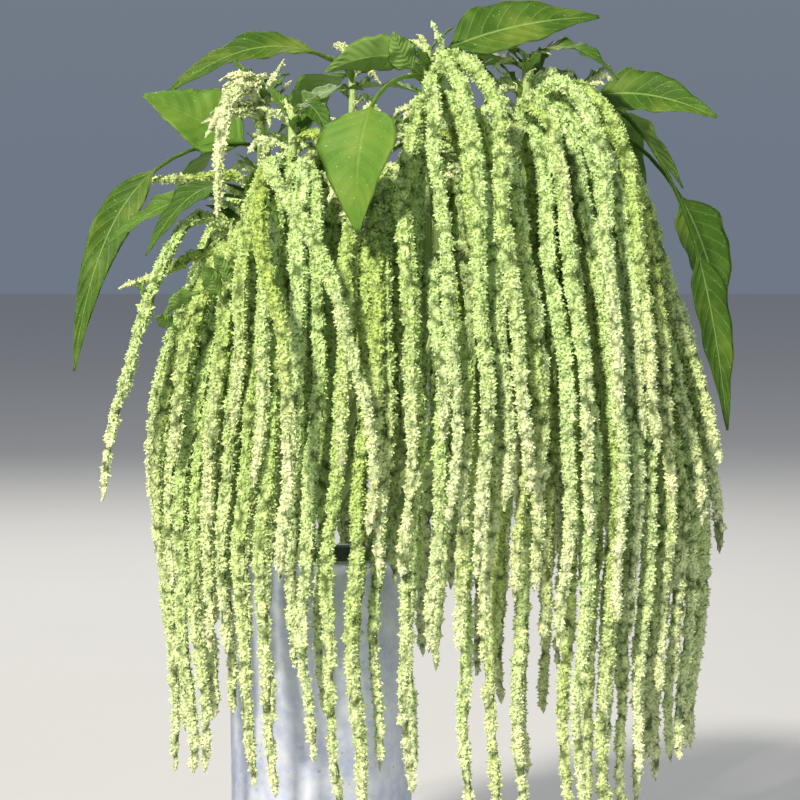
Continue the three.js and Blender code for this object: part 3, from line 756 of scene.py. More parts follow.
def tassel_tree():
    """Ropes to tassels: a lumpy core along each rope, covered with small pointed florets."""
    sockets = [
        ("Core sides", "Int"),
        ("Ring spacing", "Float"),
        ("Cluster", "Float"),
        ("Cluster depth", "Float"),
        ("Floret spacing", "Float"),
        ("Floret", "Object"),
        ("Seed", "Int"),
        ("Material", "Material"),
    ]
    tree, given = new_tree("tassels", sockets)

    # The core: a round section swept along each rope, swelling with the clusters
    curve = add(tree, "GeometryNodeMeshToCurve", {"Mesh": given["Geometry"]})
    rings = {"Curve": curve, "Length": given["Ring spacing"]}
    curve = add(tree, "GeometryNodeResampleCurve", rings, mode="LENGTH")
    wide = add(tree, "GeometryNodeInputNamedAttribute", {"Name": "wide"}, data_type="FLOAT")
    ring = add(tree, "GeometryNodeCurvePrimitiveCircle", {"Resolution": given["Core sides"], "Radius": 1.0})
    swept = {"Curve": curve, "Profile Curve": ring, "Scale": wide, "Fill Caps": True}
    core = add(tree, "GeometryNodeCurveToMesh", swept)
    per_metre = add(tree, "Math", (1.0, given["Cluster"]), operation="DIVIDE")
    cells = add(tree, "TexVoronoi", {"Scale": per_metre}, feature="F1")
    swell = add(tree, "Math", (0.45, cells), operation="SUBTRACT")
    swell = add(tree, "Math", (swell, given["Cluster depth"]), operation="MULTIPLY")
    normal = add(tree, "GeometryNodeInputNormal")
    outward = add(tree, "VectorMath", {0: normal, "Scale": swell}, operation="SCALE")
    core = add(tree, "GeometryNodeSetPosition", {"Geometry": core, "Offset": outward})

    # Florets where the core faces out of the bunch or up, closest in the middle of each cluster
    spacing, seed = given["Floret spacing"], given["Seed"]
    area = add(tree, "Math", (spacing, spacing), operation="MULTIPLY")
    density = add(tree, "Math", (4.0, area), operation="DIVIDE")
    fill = add(tree, "GeometryNodeInputNamedAttribute", {"Name": "fill"}, data_type="FLOAT")
    spot = add(tree, "GeometryNodeInputPosition")
    middle = (CURTAIN["middle"] * MM, 0.0, 0.0)
    away = add(tree, "VectorMath", (spot, middle), operation="SUBTRACT")
    away = add(tree, "VectorMath", (away, (1.0, 1.0, 0.0)), operation="MULTIPLY")
    away = add(tree, "VectorMath", (away,), operation="NORMALIZE")
    facing = add(tree, "VectorMath", (normal, away), "Value", operation="DOT_PRODUCT")
    upward = add(tree, "SeparateXYZ", (normal,), "Z")
    facing = add(tree, "Math", (facing, upward), operation="MAXIMUM")
    seen = add(tree, "MapRange", (facing, -0.7, -0.1, 0.25, 1.0))
    fill = add(tree, "Math", (fill, seen), operation="MULTIPLY")
    crowded = add(tree, "MapRange", (cells, 0.58, 0.84, 1.0, 0.3))
    fill = add(tree, "Math", (fill, crowded), operation="MULTIPLY")
    over = {
        "Mesh": core,
        "Distance Min": spacing,
        "Density Max": density,
        "Density Factor": fill,
        "Seed": seed,
    }
    spread = add(tree, "GeometryNodeDistributePointsOnFaces", over, None, distribute_method="POISSON").outputs

    # Each floret leans and turns its own way, and is larger on the crown of a cluster and on a thick rope
    limits = {0: (-0.5, -0.5, 0.0), 1: (0.5, 0.5, FULL_TURN), "Seed": seed}
    lean = add(tree, "FunctionNodeRandomValue", limits, data_type="FLOAT_VECTOR")
    lean = add(tree, "FunctionNodeEulerToRotation", (lean,))
    turns = {"Rotation": spread["Rotation"], "Rotate By": lean}
    turn = add(tree, "FunctionNodeRotateRotation", turns, rotation_space="LOCAL")
    crown = add(tree, "MapRange", (cells, 0.3, 0.85, 1.25, 0.6))
    chance = add(tree, "FunctionNodeRandomValue", {2: 0.75, 3: 1.2, "Seed": seed}, 1, data_type="FLOAT")
    size = add(tree, "Math", (crown, chance), operation="MULTIPLY")
    slim = add(tree, "MapRange", (wide, 0.0008, 0.0034, 0.5, 1.0))
    size = add(tree, "Math", (size, slim), operation="MULTIPLY")
    floret = add(tree, "GeometryNodeObjectInfo", {"Object": given["Floret"]}, "Geometry")
    placed = {"Points": spread["Points"], "Instance": floret, "Rotation": turn, "Scale": size}
    placed = add(tree, "GeometryNodeInstanceOnPoints", placed)
    return finished_tree(tree, core, placed, given["Material"])


def crumb_tree():
    """Small crumbs scattered over the top of the soil."""
    sockets = [("Crumb", "Float"), ("Spacing", "Float"), ("Seed", "Int"), ("Material", "Material")]
    tree, given = new_tree("crumbs", sockets)
    normal = add(tree, "GeometryNodeInputNormal")
    upward = add(tree, "SeparateXYZ", (normal,), "Z")
    level = add(tree, "Math", (upward, 0.6), operation="GREATER_THAN")
    seed = given["Seed"]
    over = {
        "Mesh": given["Geometry"],
        "Selection": level,
        "Distance Min": given["Spacing"],
        "Density Max": 60000.0,
        "Seed": seed,
    }
    spread = add(tree, "GeometryNodeDistributePointsOnFaces", over, None, distribute_method="POISSON").outputs
    crumb = add(tree, "GeometryNodeMeshIcoSphere", {"Radius": given["Crumb"], "Subdivisions": 1})
    turn, stretch = (
        add(tree, "FunctionNodeRandomValue", {0: low, 1: high, "Seed": seed}, data_type="FLOAT_VECTOR")
        for low, high in (((0.0, 0.0, 0.0), (FULL_TURN,) * 3), ((0.2, 0.2, 0.2), (0.8, 0.6, 0.5)))
    )
    placed = {"Points": spread["Points"], "Instance": crumb, "Rotation": turn, "Scale": stretch}
    placed = add(tree, "GeometryNodeInstanceOnPoints", placed)
    return finished_tree(tree, given["Geometry"], placed, given["Material"])


def new_material(name):
    """An empty node material and its tree."""
    material = bpy.data.materials.new(name)
    material.use_nodes = True
    material.node_tree.nodes.clear()
    return material, material.node_tree


def finished(material, inputs):
    """Gives a material its surface shader, with the shader's values and the sockets that feed it."""
    shader = add(material.node_tree, "BsdfPrincipled", inputs)
    add(material.node_tree, "OutputMaterial", {"Surface": shader}, None)
    return material


def layered(tree, base, *layers):
    """Colours laid over a base, each by its own amount from 0 to 1."""
    surface = (*base, 1)
    for amount, over in layers:
        surface = add(tree, "Mix", {0: amount, 6: surface, 7: (*over, 1)}, 2, data_type="RGBA")
    return surface


def cloudy(tree, spot, scale, detail, limits):
    """Soft clouds: noise at a scale, and what its values between two limits become."""
    cloud = add(tree, "TexNoise", {"Vector": spot, "Scale": scale, "Detail": detail})
    return add(tree, "MapRange", (cloud, *limits))


def galvanised_steel(look):
    """Hot-dipped zinc on steel sheet, weathered: lavender grey with soft paler clouds of bloom, small
    crystals that show faintly, and specks of splashed soil. It shines softly, in broad streaks."""
    material, tree = new_material("galvanised_steel")
    spot = add(tree, "TexCoord", result="Object")

    # A scale is a number of features to a metre: here the clouds of bloom are some 30 mm apart
    clouds = {"Vector": spot, "Scale": 34.0, "Detail": 7.0, "Roughness": 0.68}
    tone = add(tree, "TexNoise", clouds)
    tone = add(tree, "MapRange", (tone, 0.36, 0.64, 0.0, 1.0))
    crystals = {"Vector": spot, "Scale": 1 / look.spangle}
    facet = add(tree, "TexVoronoi", crystals, "Color", feature="F1")
    facet = add(tree, "SeparateColor", (facet,))
    faint = add(tree, "Math", (facet, 0.3), operation="MULTIPLY")

    # Specks of soil 5 mm apart, on the lowest 110 mm most of all
    high = add(tree, "SeparateXYZ", (spot,), "Z")
    splash = add(tree, "MapRange", (high, 0.0, 0.11, 0.07, 0.0))
    speck = add(tree, "TexNoise", {"Vector": spot, "Scale": 210.0, "Detail": 4.0})
    speck = add(tree, "Math", (speck, splash), operation="ADD")
    dirt = add(tree, "MapRange", (speck, 0.65, 0.76, 0.0, 0.5))
    surface = layered(tree, look.dark, (tone, look.light), (faint, look.bloom), (dirt, look.dirt))
    gloss = add(tree, "MapRange", (tone, 0.0, 1.0, 0.36, 0.54))
    gloss = add(tree, "Math", (gloss, dirt), operation="MAXIMUM")

    # The fine grain of the zinc, drawn as coarse as 2.4 mm so that it shows
    fine = add(tree, "TexNoise", {"Vector": spot, "Scale": 420.0, "Detail": 2.0})
    relief = add(tree, "Bump", {"Height": fine, "Strength": 0.12, "Distance": 0.0004})
    inputs = {"Base Color": surface, "Metallic": 0.5, "Roughness": gloss, "Normal": relief}
    return finished(material, inputs)


def potting_compost(look):
    """Damp peat-based compost: almost black, matt, with drier brown crumbs."""
    material, tree = new_material("potting_compost")
    spot = add(tree, "TexCoord", result="Object")

    # Crumbs some 4 mm apart
    crumb = add(tree, "TexNoise", {"Vector": spot, "Scale": 260.0, "Detail": 6.0})
    dry = add(tree, "MapRange", (crumb, 0.42, 0.66, 0.0, 1.0))
    surface = layered(tree, look.dark, (dry, look.light))
    relief = add(tree, "Bump", {"Height": crumb, "Strength": 0.6, "Distance": 0.001})
    return finished(material, {"Base Color": surface, "Roughness": 0.95, "Normal": relief})


def leaf_blade(look):
    """Living amaranth leaf: soft satin green with a pale midrib and pale side veins, puffed up between
    them, with fine pale specks, lighter and duller beneath. Each leaf is painted lit or shaded by its tone."""
    material, tree = new_material("amaranth_leaf")
    spot = add(tree, "TexCoord", result="Object")
    blade = add(tree, "TexCoord", result="UV")
    split = add(tree, "SeparateXYZ", (blade,), None).outputs

    # Veins: the midrib runs along the middle, and the side veins leave it and curve towards the tip
    half = add(tree, "Math", (split["X"], 0.5), operation="SUBTRACT")
    half = add(tree, "Math", (half,), operation="ABSOLUTE")
    out = add(tree, "Math", (half, 2.0), operation="MULTIPLY")
    midrib = add(tree, "MapRange", (out, 0.015, 0.06, 1.0, 0.0))
    curved = add(tree, "Math", (out, 1.25), operation="POWER")
    rise = add(tree, "Math", (curved, 1.7), operation="MULTIPLY")
    order = add(tree, "Math", (split["Y"], look.vein_pairs), operation="MULTIPLY")
    order = add(tree, "Math", (order, rise), operation="SUBTRACT")
    near = add(tree, "Math", (order, 0.5), operation="PINGPONG")
    side = add(tree, "MapRange", (near, 0.01, 0.06, 0.45, 0.0))
    fade = add(tree, "MapRange", (out, 0.75, 1.0, 1.0, 0.2))
    side = add(tree, "Math", (side, fade), operation="MULTIPLY")
    veins = add(tree, "Math", (midrib, side), operation="MAXIMUM")

    # Each leaf's tone is painted light, from the shaded leaf green to the leaf green, and drifts over 18 mm;
    # the sunned patches are 38 mm apart, and the pale specks 1.5 mm
    tone = add(tree, "Attribute", (), "Fac", attribute_name="tone")
    under = add(tree, "Attribute", (), "Fac", attribute_name="under")
    patch = cloudy(tree, spot, 55.0, 4.0, (0.35, 0.7, -0.2, 0.25))
    tone = add(tree, "Math", (tone, patch), operation="ADD", use_clamp=True)
    sunned = cloudy(tree, spot, 26.0, 3.0, (0.5, 0.72, 0.0, 0.5))
    # Veins show least on a leaf that is painted lit
    pale = add(tree, "MapRange", (tone, 0.5, 1.0, 0.7, 0.16))
    shown = add(tree, "Math", (veins, pale), operation="MULTIPLY")
    dust = cloudy(tree, spot, 650.0, 2.0, (0.68, 0.75, 0.0, 0.45))
    surface = layered(
        tree,
        look.shaded_leaf_green,
        (tone, look.green),
        (sunned, look.yellow),
        (under, look.under),
        (shown, look.vein),
        (dust, look.dust),
    )
    puff = add(tree, "MapRange", (near, 0.0, 0.5, 0.0, 1.0))
    puff = add(tree, "Math", (puff, midrib), operation="SUBTRACT")
    inputs = {
        "Base Color": surface,
        "Roughness": 0.58,
        "Specular IOR Level": 0.2,
        "Subsurface Weight": 0.2,
        "Subsurface Radius": (0.6, 1.0, 0.25),
        "Subsurface Scale": 0.002,
        "Normal": add(tree, "Bump", {"Height": puff, "Strength": 0.45, "Distance": 0.0011}),
    }
    return finished(material, inputs)


def stem_skin(look):
    """Living amaranth stem: pale green and ribbed along its length, with a soft waxy gloss."""
    material, tree = new_material("amaranth_stem")
    place_on_skin = add(tree, "TexCoord", result="UV")
    around = add(tree, "SeparateXYZ", (place_on_skin,))
    ribs = add(tree, "Math", (around, 9.0), operation="MULTIPLY")
    ribs = add(tree, "Math", (ribs, 0.5), operation="PINGPONG")
    crest = add(tree, "MapRange", (ribs, 0.3, 0.5, 0.0, 0.8))
    surface = layered(tree, look.stem, (crest, look.stem_rib))
    relief = add(tree, "Bump", {"Height": ribs, "Strength": 0.5, "Distance": 0.0008})
    return finished(material, {"Base Color": surface, "Roughness": 0.45, "Normal": relief})


def tassel_flowers(look):
    """Amaranth flowers: thousands of dry, papery, matt buds, whitish at their points and green between,
    packed in clumps. The points make a tassel look frosted, and the gaps between buds and between clumps
    are darkened with painted shade. The real points are finer than the picture can show, so each one is
    drawn about 3 mm wide."""
    material, tree = new_material("amaranth_flowers")
    spot = add(tree, "TexCoord", result="Object")
    tip, age, along = (
        add(tree, "Attribute", (), "Fac", attribute_name=name) for name in ("tip", "age", "along")
    )
    bud, clump = (
        add(tree, "TexVoronoi", {"Vector": spot, "Scale": 1 / size}, feature="F1")
        for size in (look.bud, look.cluster)
    )

    # Tassels turn younger towards their ends, in patches some 45 mm apart
    patch = add(tree, "TexNoise", {"Vector": spot, "Scale": 22.0, "Detail": 2.0})
    fresh = add(tree, "MapRange", (along, 0.5, 1.0, 0.0, 1.8))
    fresh = add(tree, "Math", (fresh, patch), operation="MULTIPLY", use_clamp=True)

    # Painted shade: dark between the buds and deep between the clumps, least on what stands out
    proud = add(tree, "MapRange", (tip, 0.05, 0.6, 1.0, 0.35))
    between = add(tree, "MapRange", (bud, 0.62, 0.9, 0.0, 0.9))
    between = add(tree, "Math", (between, proud), operation="MULTIPLY")
    deep = add(tree, "MapRange", (clump, 0.45, 0.82, 0.0, 0.88))
    deep = add(tree, "Math", (deep, proud), operation="MULTIPLY")
    dark = add(tree, "Math", (between, deep), operation="MAXIMUM")

    # Whitish points and bud crowns, fewer on old tassels
    cream = add(tree, "MapRange", (bud, 0.22, 0.58, 0.9, 0.0))
    clear = add(tree, "Math", (1.0, deep), operation="SUBTRACT")
    cream = add(tree, "Math", (cream, clear), operation="MULTIPLY")
    frost = add(tree, "MapRange", (age, 0.2, 1.0, 1.0, 0.35))
    point = add(tree, "MapRange", (tip, 0.5, 0.95, 0.0, 0.6))
    white = add(tree, "Math", (cream, point), operation="MAXIMUM")
    white = add(tree, "Math", (white, frost), operation="MULTIPLY")
    layers = ((age, look.old), (fresh, look.young), (dark, look.shade), (white, look.tip))
    surface = layered(tree, look.flower, *layers)
    bump = {"Height": bud, "Strength": 0.7, "Distance": 0.0008}
    inputs = {
        "Base Color": surface,
        "Roughness": 0.75,
        "Specular IOR Level": 0.25,
        "Normal": add(tree, "Bump", bump, invert=True),
    }
    return finished(material, inputs)


def pale_floor(look):
    """Matt painted board, plain and pale."""
    material, tree = new_material("pale_floor")
    spot = add(tree, "TexCoord", result="Object")

    # The paint darkens a little over a third of a metre
    grain = add(tree, "TexNoise", {"Vector": spot, "Scale": 3.0, "Detail": 2.0})
    darker = tuple(0.96 * part for part in look.floor)
    surface = layered(tree, look.floor, (grain, darker))
    return finished(material, {"Base Color": surface, "Roughness": 0.9})


def put(name, data):
    """A new object in the scene that holds some data."""
    thing = bpy.data.objects.new(name, data)
    bpy.context.scene.collection.objects.link(thing)
    return thing


def new_piece(name, points, faces, materials=(), edges=()):
    """A mesh object at the origin from points in millimetres."""
    mesh = bpy.data.meshes.new(name)
    mesh.from_pydata((np.asarray(points, float) * MM).tolist(), edges, faces)
    for material in materials:
        mesh.materials.append(material)
    return put(name, mesh)


def hand_over(piece, slot, *nodes):
    """Puts a finished piece on the part's body, in place of its CAD nodes."""
    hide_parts(*nodes)
    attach(piece, BODY)


def paint(mesh, name, values):
    """Stores one number for each point of a mesh."""
    mesh.attributes.new(name, "FLOAT", "POINT").data.foreach_set("value", np.asarray(values, np.float32))


def grid_faces(rows, columns, start=0, closed=False):
    """Quads between rows of points, all the way round where closed."""
    faces = []
    for row in range(rows - 1):
        for i in range(columns if closed else columns - 1):
            j = (i + 1) % columns
            a, b = start + row * columns + i, start + row * columns + j
            faces.append((a, b, b + columns, a + columns))
    return faces


def capped_faces(count, sides, flipped=False):
    """The faces of rings all the way round, closed at both ends by fans from two more points."""
    faces = grid_faces(count, sides, closed=True)
    if flipped:
        faces = [face[::-1] for face in faces]
    foot, top, last = count * sides, count * sides + 1, (count - 1) * sides
    for i in range(sides):
        j = (i + 1) % sides
        a, b = (j, i) if flipped else (i, j)
        faces.append((foot, b, a))
        faces.append((top, last + a, last + b))
    return faces


def bucket_profile():
    """The turned outline of the sheet, from the middle of the foot out, up, over the rim and back."""
    height, radius, wall = BUCKET["height"], BUCKET["radius"], BUCKET["wall"]
    roll, bead, bead_height = BUCKET["roll"], BUCKET["bead"], BUCKET["bead_height"]
    outline = [(0, 0), (radius * 0.5, 0), (radius - 2.6, 0), (radius - bead, 0.1)]
    for turn in np.linspace(-60, 90, 6):
        angle = math.radians(turn)
        outline.append(
            (radius + bead * math.cos(angle), bead_height * 0.45 + bead_height * 0.4 * math.sin(angle))
        )
    outline += [(radius, z) for z in np.linspace(bead_height, height - 2.1 * roll, 40)]
    for turn in np.linspace(-80, 200, 16):
        angle = math.radians(turn)
        outline.append((radius + 0.2 + roll * 0.92 * math.cos(angle), height - roll + roll * math.sin(angle)))
    inner = radius - wall
    outline += [(inner, z) for z in np.linspace(height - 1.5 * roll, wall + 3, 20)]
    outline += [(inner - 0.8, wall + 0.8), (inner - 3, wall), (radius * 0.5, wall), (0, wall)]
    return outline


class LIES_OT_bucket(bpy.types.Operator):
    """Makes the zinc bucket with its rolled rim, its foot bead and its lapped side seam"""

    bl_idname = "lies.bucket"
    bl_label = "Bucket"

    def execute(self, context):
        look = context.scene.lies_bucket
        outline = np.array(bucket_profile())
        rings = outline[1:-1]
        angles = np.linspace(0, 2 * math.pi, look.sides, endpoint=False)
        radius = np.repeat(rings[:, :1], look.sides, axis=1)
        height = np.repeat(rings[:, 1:], look.sides, axis=1)
        above_bead, under_rim = smoothstep(height, 8, 30), 1 - smoothstep(height, 270, 290)
        wall = above_bead * under_rim * (radius > BUCKET["radius"] - 2)
        dents = np.sin(3 * angles + height / 41) * np.sin(5 * angles - height / 57 + 1)
        radius = radius + wall * look.dent / MM * dents
        away = np.abs(angles - math.radians(SEAM_ANGLE)) * BUCKET["radius"]
        seam_half = look.seam_width / MM / 2
        seam = 1 - smoothstep(away, seam_half - 0.8, seam_half + 0.8)
        outside = (radius > BUCKET["radius"] - 0.9) & (height > 7) & (height < 296)
        radius = radius + outside * seam * look.seam_height / MM
        x, y = radius * np.cos(angles), radius * np.sin(angles)
        points = np.column_stack((x.ravel(), y.ravel(), height.ravel()))
        points = np.vstack((points, (0, 0, outline[0][1]), (0, 0, outline[-1][1])))
        faces = capped_faces(len(rings), look.sides)
        piece = new_piece("zinc_bucket", points, faces, [galvanised_steel(look)])
        piece.data.shade_smooth()
        hand_over(piece, "zinc", "bucket")
        return {"FINISHED"}


class LIES_OT_soil(bpy.types.Operator):
    """Makes the crumbly potting soil that fills the bucket"""

    bl_idname = "lies.soil"
    bl_label = "Soil"

    def execute(self, context):
        look = context.scene.lies_soil
        chance = np.random.default_rng(5)
        sides = 72
        full = BUCKET["radius"] - BUCKET["wall"] - SOIL["gap"]
        outward = np.concatenate((np.linspace(0.04, 0.985, 24), (1, 1)))
        crown = SOIL["top"] - SOIL["crown"] * smoothstep(outward, 0.4, 1)
        crown[-1] = BUCKET["wall"] + SOIL["gap"]
        angles = np.linspace(0, 2 * math.pi, sides, endpoint=False)
        radius = np.repeat((outward * full)[:, None], sides, axis=1)
        height = np.repeat(crown[:, None], sides, axis=1)
        lumps = chance.normal(size=radius.shape) * look.rough / MM * 0.5
        height[:-2] += lumps[:-2]
        points = np.column_stack(
            ((radius * np.cos(angles)).ravel(), (radius * np.sin(angles)).ravel(), height.ravel())
        )
        points = np.vstack((points, (0, 0, SOIL["top"]), (0, 0, crown[-1])))
        faces = capped_faces(len(outward), sides, flipped=True)
        material = potting_compost(look)
        piece = new_piece("potting_soil", points, faces, [material])
        values = {"Crumb": look.crumb, "Spacing": look.crumb_spacing, "Seed": 3, "Material": material}
        settle(piece, crumb_tree(), values)
        hand_over(piece, "compost", "soil")
        return {"FINISHED"}


def tube(points, radii, sides, side):
    """A closed skin of rings along a way: its points and its faces."""
    along = unit(np.gradient(points, axis=0))
    first = square_to(np.broadcast_to(side, along.shape), along)
    second = np.cross(along, first)
    angles = np.linspace(0, 2 * math.pi, sides, endpoint=False)
    rings = (
        points[:, None]
        + radii[:, None, None] * np.cos(angles)[None, :, None] * first[:, None]
        + radii[:, None, None] * np.sin(angles)[None, :, None] * second[:, None]
    )
    skin = np.vstack((rings.reshape(-1, 3), points[:1], points[-1:]))
    return skin, capped_faces(len(points), sides)


def leaf_skin(root, tip, lift, at, width, stalk, roll, thickness, grid=LEAF_GRID):
    """A leaf from its stalk to its tip: points, faces, and each point's place on the blade."""
    tip = np.array(tip, float)
    rows, columns = grid
    bend = root + (tip - root) * at + UP * lift
    foot = np.linspace(-stalk / (1 - stalk), -0.03, max(3, rows // 4))
    stations = np.concatenate((foot, np.linspace(0, 1, rows)))
    t = (stalk + (1 - stalk) * stations)[:, None]
    centre = (1 - t) ** 2 * root + 2 * (1 - t) * t * bend + t**2 * tip
    forward = unit(2 * (1 - t) * (bend - root) + 2 * t * (tip - bend))
    level = unit(np.cross(tip - root, UP))
    side = square_to(np.broadcast_to(level, forward.shape), forward)
    turn = math.radians(roll)
    side = side * math.cos(turn) + np.cross(forward, side) * math.sin(turn)
    normal = np.cross(side, forward)
    wide = rounded(stations, BLADE_STATIONS, BLADE_SHARES)
    half = np.maximum(width / 2 * wide, LEAF["stalk_radius"] * (1 - 0.75 * smoothstep(stations, 0, 1)))
    wave = wide * LEAF["wave"] * np.cos(math.pi * 5 * np.clip(stations, 0, 1) + math.pi)
    ruffle = wide * LEAF["ruffle"] * np.sin(stations * 31)
    columns = np.linspace(-1, 1, columns)
    on_blade = smoothstep(stations, -0.02, 0.1)
    rows = []
    for face in (1, -1):
        u = columns if face == 1 else columns[-2:0:-1]
        height = (
            LEAF["fold"] * half[:, None] * np.abs(u) ** 1.4 * on_blade[:, None]
            - wave[:, None] * u
            + ruffle[:, None] * np.abs(u) ** 3
        )
        round_stalk = (1 - on_blade[:, None]) * np.sqrt(np.clip(1 - u**2, 0, 1)) * LEAF["stalk_radius"]
        midrib = LEAF["midrib"] * on_blade[:, None] * np.exp(-((u * 9) ** 2)) * (face < 0)
        thick = np.where(np.abs(u) < 1, thickness / 2 + round_stalk + midrib, 0.0)
        rows.append(
            centre[:, None]
            + side[:, None] * (half[:, None] * u)[..., None]
            + normal[:, None] * (height + face * thick)[..., None]
        )
    around = np.concatenate(rows, axis=1)
    count, columns_all = around.shape[:2]
    faces = [face[::-1] for face in grid_faces(count, columns_all, closed=True)]
    points = around.reshape(-1, 3)
    last = (count - 1) * columns_all
    faces.append(tuple(range(columns_all)))
    faces.append(tuple(last + i for i in range(columns_all))[::-1])
    across = np.concatenate((columns, columns[-2:0:-1]))
    under = np.concatenate((np.zeros(len(columns)), np.ones(len(columns) - 2)))
    spot = np.stack(
        (
            np.broadcast_to(across / 2 + 0.5, (count, columns_all)),
            np.broadcast_to(np.clip(stations, 0, 1)[:, None], (count, columns_all)),
        ),
        axis=-1,
    ).reshape(-1, 2)
    return points, faces, spot, np.tile(under, count)


def rounded(at, stations, shares):
    """A smooth curve through the outline's stations, nothing before the first."""
    slopes = np.gradient(np.array(shares, float), np.array(stations, float))
    slopes[0] = 5.2
    out = np.zeros(len(at))
    for i in range(len(stations) - 1):
        a, b = stations[i], stations[i + 1]
        inside = (at >= a) & (at <= b)
        t = (at[inside] - a) / (b - a)
        out[inside] = eased(t, shares[i], shares[i + 1], slopes[i] * (b - a), slopes[i + 1] * (b - a))
    return out


def bracts(stem, chance):
    """The small pointed leaves at a stem's tip, each as the measures of a leaf."""
    for i in range(BRACT["count"]):
        turn = GOLDEN_TURN * i + chance.uniform(-0.3, 0.3)
        long = chance.uniform(*BRACT["long"])
        root = stem_at(stem, stem[2] - 2 - 7 * i)
        away = np.array((math.cos(turn), math.sin(turn), chance.uniform(0.3, 1.1)))
        yield root, root + long * away, 0.15 * long, 0.5, BRACT["width"] * long, 0.12, chance.uniform(-30, 30)


class LIES_OT_stems(bpy.types.Operator):
    """Makes the ribbed stems with their stalked, pointed, veined leaves"""

    bl_idname = "lies.stems"
    bl_label = "Stems and leaves"

    def execute(self, context):
        look = context.scene.lies_leaves
        skins = [stem_skin(look), leaf_blade(look)]
        chance = np.random.default_rng(11)
        for name, stem in STEMS.items():
            heights = np.linspace(SOIL["top"] - SOIL["hole_depth"], stem[2], STEM_RINGS)
            axis = np.array([stem_at(stem, z) for z in heights])
            points, faces = tube(axis, stem_radius(heights), STEM_SIDES, np.array((1.0, 0.0, 0.0)))
            count = len(points)
            spot = np.zeros((count, 2))
            spot[: STEM_RINGS * STEM_SIDES, 0] = np.tile(np.arange(STEM_SIDES) / STEM_SIDES, STEM_RINGS)
            kinds = [0] * len(faces)
            under, tone = np.zeros(count), np.zeros(count)
            thick = look.thickness / MM
            leaves = []
            # Painted light: a leaf's tone says how lit it is painted, full for a broad leaf and a random
            # share for the others, the bracts and the sprigs
            for height, *form in LEAVES.get(name, ()):
                light = 1 if form[3] > LIT_LEAF_WIDTH else chance.uniform(0, 0.5)
                leaves.append((leaf_skin(stem_at(stem, height), *form, thick), light))
            leaves += [
                (leaf_skin(*bract, thick, BRACT_GRID), chance.uniform(0.3, 0.9))
                for bract in bracts(stem, chance)
            ]
            leaves += [
                (leaf_skin(np.array(foot, float), *form, thick, SPRIG_GRID), chance.uniform(0.5, 1))
                for foot, *form in SPRIGS.get(name, ())
            ]
            for more, light in leaves:
                start = len(points)
                points = np.vstack((points, more[0]))
                faces += [tuple(start + i for i in face) for face in more[1]]
                spot = np.vstack((spot, more[2]))
                under = np.concatenate((under, more[3]))
                tone = np.concatenate((tone, np.full(len(more[0]), light)))
                kinds += [1] * len(more[1])
            piece = new_piece(f"leafy_stem_{name}", points, faces, skins)
            mesh = piece.data
            mesh.polygons.foreach_set("material_index", kinds)
            paint(mesh, "under", under)
            paint(mesh, "tone", tone)
            corner = np.zeros(len(mesh.loops), np.int32)
            mesh.loops.foreach_get("vertex_index", corner)
            mesh.uv_layers.new(name="UVMap").data.foreach_set("uv", spot[corner].ravel())
            mesh.shade_smooth()
            hand_over(piece, "leaf_green", f"stem_{name}")
        return {"FINISHED"}


class LIES_OT_sprays(bpy.types.Operator):
    """Makes the sprays of hanging tassels, covered with florets"""

    bl_idname = "lies.sprays"
    bl_label = "Flower sprays"

    def execute(self, context):
        look = context.scene.lies_tassels
        tree = tassel_tree()
        material = tassel_flowers(look)
        floret = pointed_floret(look.floret_height, look.floret_width)
        for order, name in enumerate(SPRAYS):
            ropes = spray_ropes(name, order)
            ends = set(np.cumsum([len(rope[0]) for rope in ropes]).tolist())
            points, wide, age, along, fill = (np.concatenate(part) for part in zip(*ropes))
            edges = [(i, i + 1) for i in range(len(points) - 1) if i + 1 not in ends]
            piece = new_piece(f"tassels_{name}", points, (), edges=edges)
            paint(piece.data, "wide", wide * look.core * MM)
            for label, values in (("age", age), ("along", along), ("fill", fill)):
                paint(piece.data, label, values)
            values = {
                "Core sides": look.core_sides,
                "Ring spacing": look.ring_spacing,
                "Cluster": look.cluster,
                "Cluster depth": look.cluster_depth,
                "Floret spacing": look.floret_spacing,
                "Floret": floret,
                "Seed": order,
                "Material": material,
            }
            settle(piece, tree, values)
            if not piece.data.polygons:
                raise RuntimeError(f"no tassels were made for {name}")
            hand_over(piece, "lime_flowers", f"spray_{name}")
        bpy.data.objects.remove(floret)
        return {"FINISHED"}


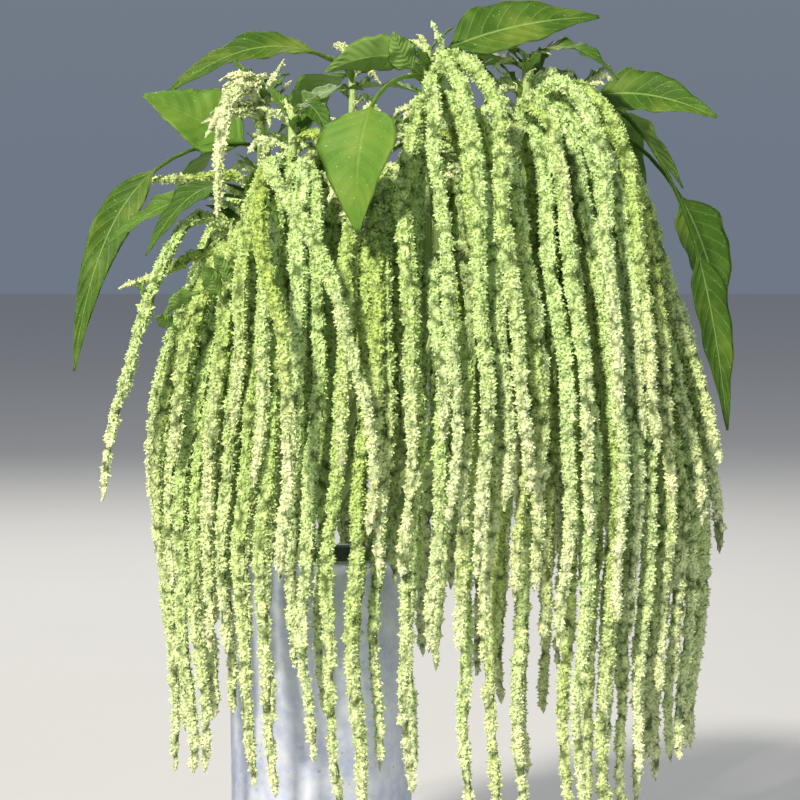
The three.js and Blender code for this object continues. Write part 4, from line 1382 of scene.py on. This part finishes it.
class LIES_OT_stage(bpy.types.Operator):
    """Sets the pale floor, the soft lights and the camera"""

    bl_idname = "lies.stage"
    bl_label = "Floor, lights and camera"

    def execute(self, context):
        look = context.scene.lies_stage
        size = FLOOR_SIZE
        corners = [(-size, -size, 0), (size, -size, 0), (size, size, 0), (-size, size, 0)]
        floor = new_piece("pale_floor", corners, [(0, 1, 2, 3)], [pale_floor(look)])

        world = bpy.data.worlds.new("soft_room")
        world.use_nodes = True
        room = world.node_tree
        way = add(room, "TexCoord", result="Generated")
        high = add(room, "SeparateXYZ", (way,), "Z")
        upper = add(room, "MapRange", (high, 0.02, 0.5, 0.0, 1.0))
        light = layered(room, look.wall, (upper, look.ceiling))
        room.links.new(light, room.nodes["Background"].inputs["Color"])
        context.scene.world = world
        context.scene.view_settings.view_transform = "Standard"

        middle = Vector(VIEW_MIDDLE)
        for name, spot, width, spread, power, tint in LAMPS:
            lamp = bpy.data.lights.new(name, "AREA")
            lamp.size = width
            lamp.spread = math.radians(spread)
            lamp.energy = power
            lamp.color = linear(tint)
            holder = put(name, lamp)
            holder.location = spot
            holder.rotation_euler = (middle - Vector(spot)).to_track_quat("-Z", "Y").to_euler()

        camera = bpy.data.cameras.new("camera")
        camera.lens = look.lens
        camera.sensor_width = 36
        camera.clip_end = 30
        holder = put("camera", camera)
        away = Vector((0, -math.cos(look.tilt), math.sin(look.tilt)))
        holder.location = middle + away * look.distance
        holder.rotation_euler = (-away).to_track_quat("-Z", "Y").to_euler()
        context.scene.camera = holder
        return {"FINISHED"}


OPERATORS = (LIES_OT_bucket, LIES_OT_soil, LIES_OT_stems, LIES_OT_sprays, LIES_OT_stage)
SETTINGS = {
    "lies_bucket": BucketSettings,
    "lies_soil": SoilSettings,
    "lies_leaves": LeafSettings,
    "lies_tassels": TasselSettings,
    "lies_stage": StageSettings,
}


class LIES_PT_panel(bpy.types.Panel):
    """Lists the makers and their settings"""

    bl_idname = "LIES_PT_panel"
    bl_label = "Love-lies-bleeding"
    bl_space_type = "VIEW_3D"
    bl_region_type = "UI"
    bl_category = "Love-lies-bleeding"

    def draw(self, context):
        for maker, (name, kind) in zip(OPERATORS, SETTINGS.items()):
            box = self.layout.box()
            box.operator(maker.bl_idname)
            for setting in kind.__annotations__:
                box.prop(getattr(context.scene, name), setting)


def register():
    for kind in (*SETTINGS.values(), *OPERATORS, LIES_PT_panel):
        bpy.utils.register_class(kind)
    for name, kind in SETTINGS.items():
        setattr(bpy.types.Scene, name, bpy.props.PointerProperty(type=kind))


def unregister():
    for name in SETTINGS:
        delattr(bpy.types.Scene, name)
    for kind in reversed((*SETTINGS.values(), *OPERATORS, LIES_PT_panel)):
        bpy.utils.unregister_class(kind)


def main():
    register()
    bpy.ops.lies.bucket()
    bpy.ops.lies.soil()
    bpy.ops.lies.stems()
    bpy.ops.lies.sprays()
    bpy.ops.lies.stage()


if __name__ == "__main__":
    main()
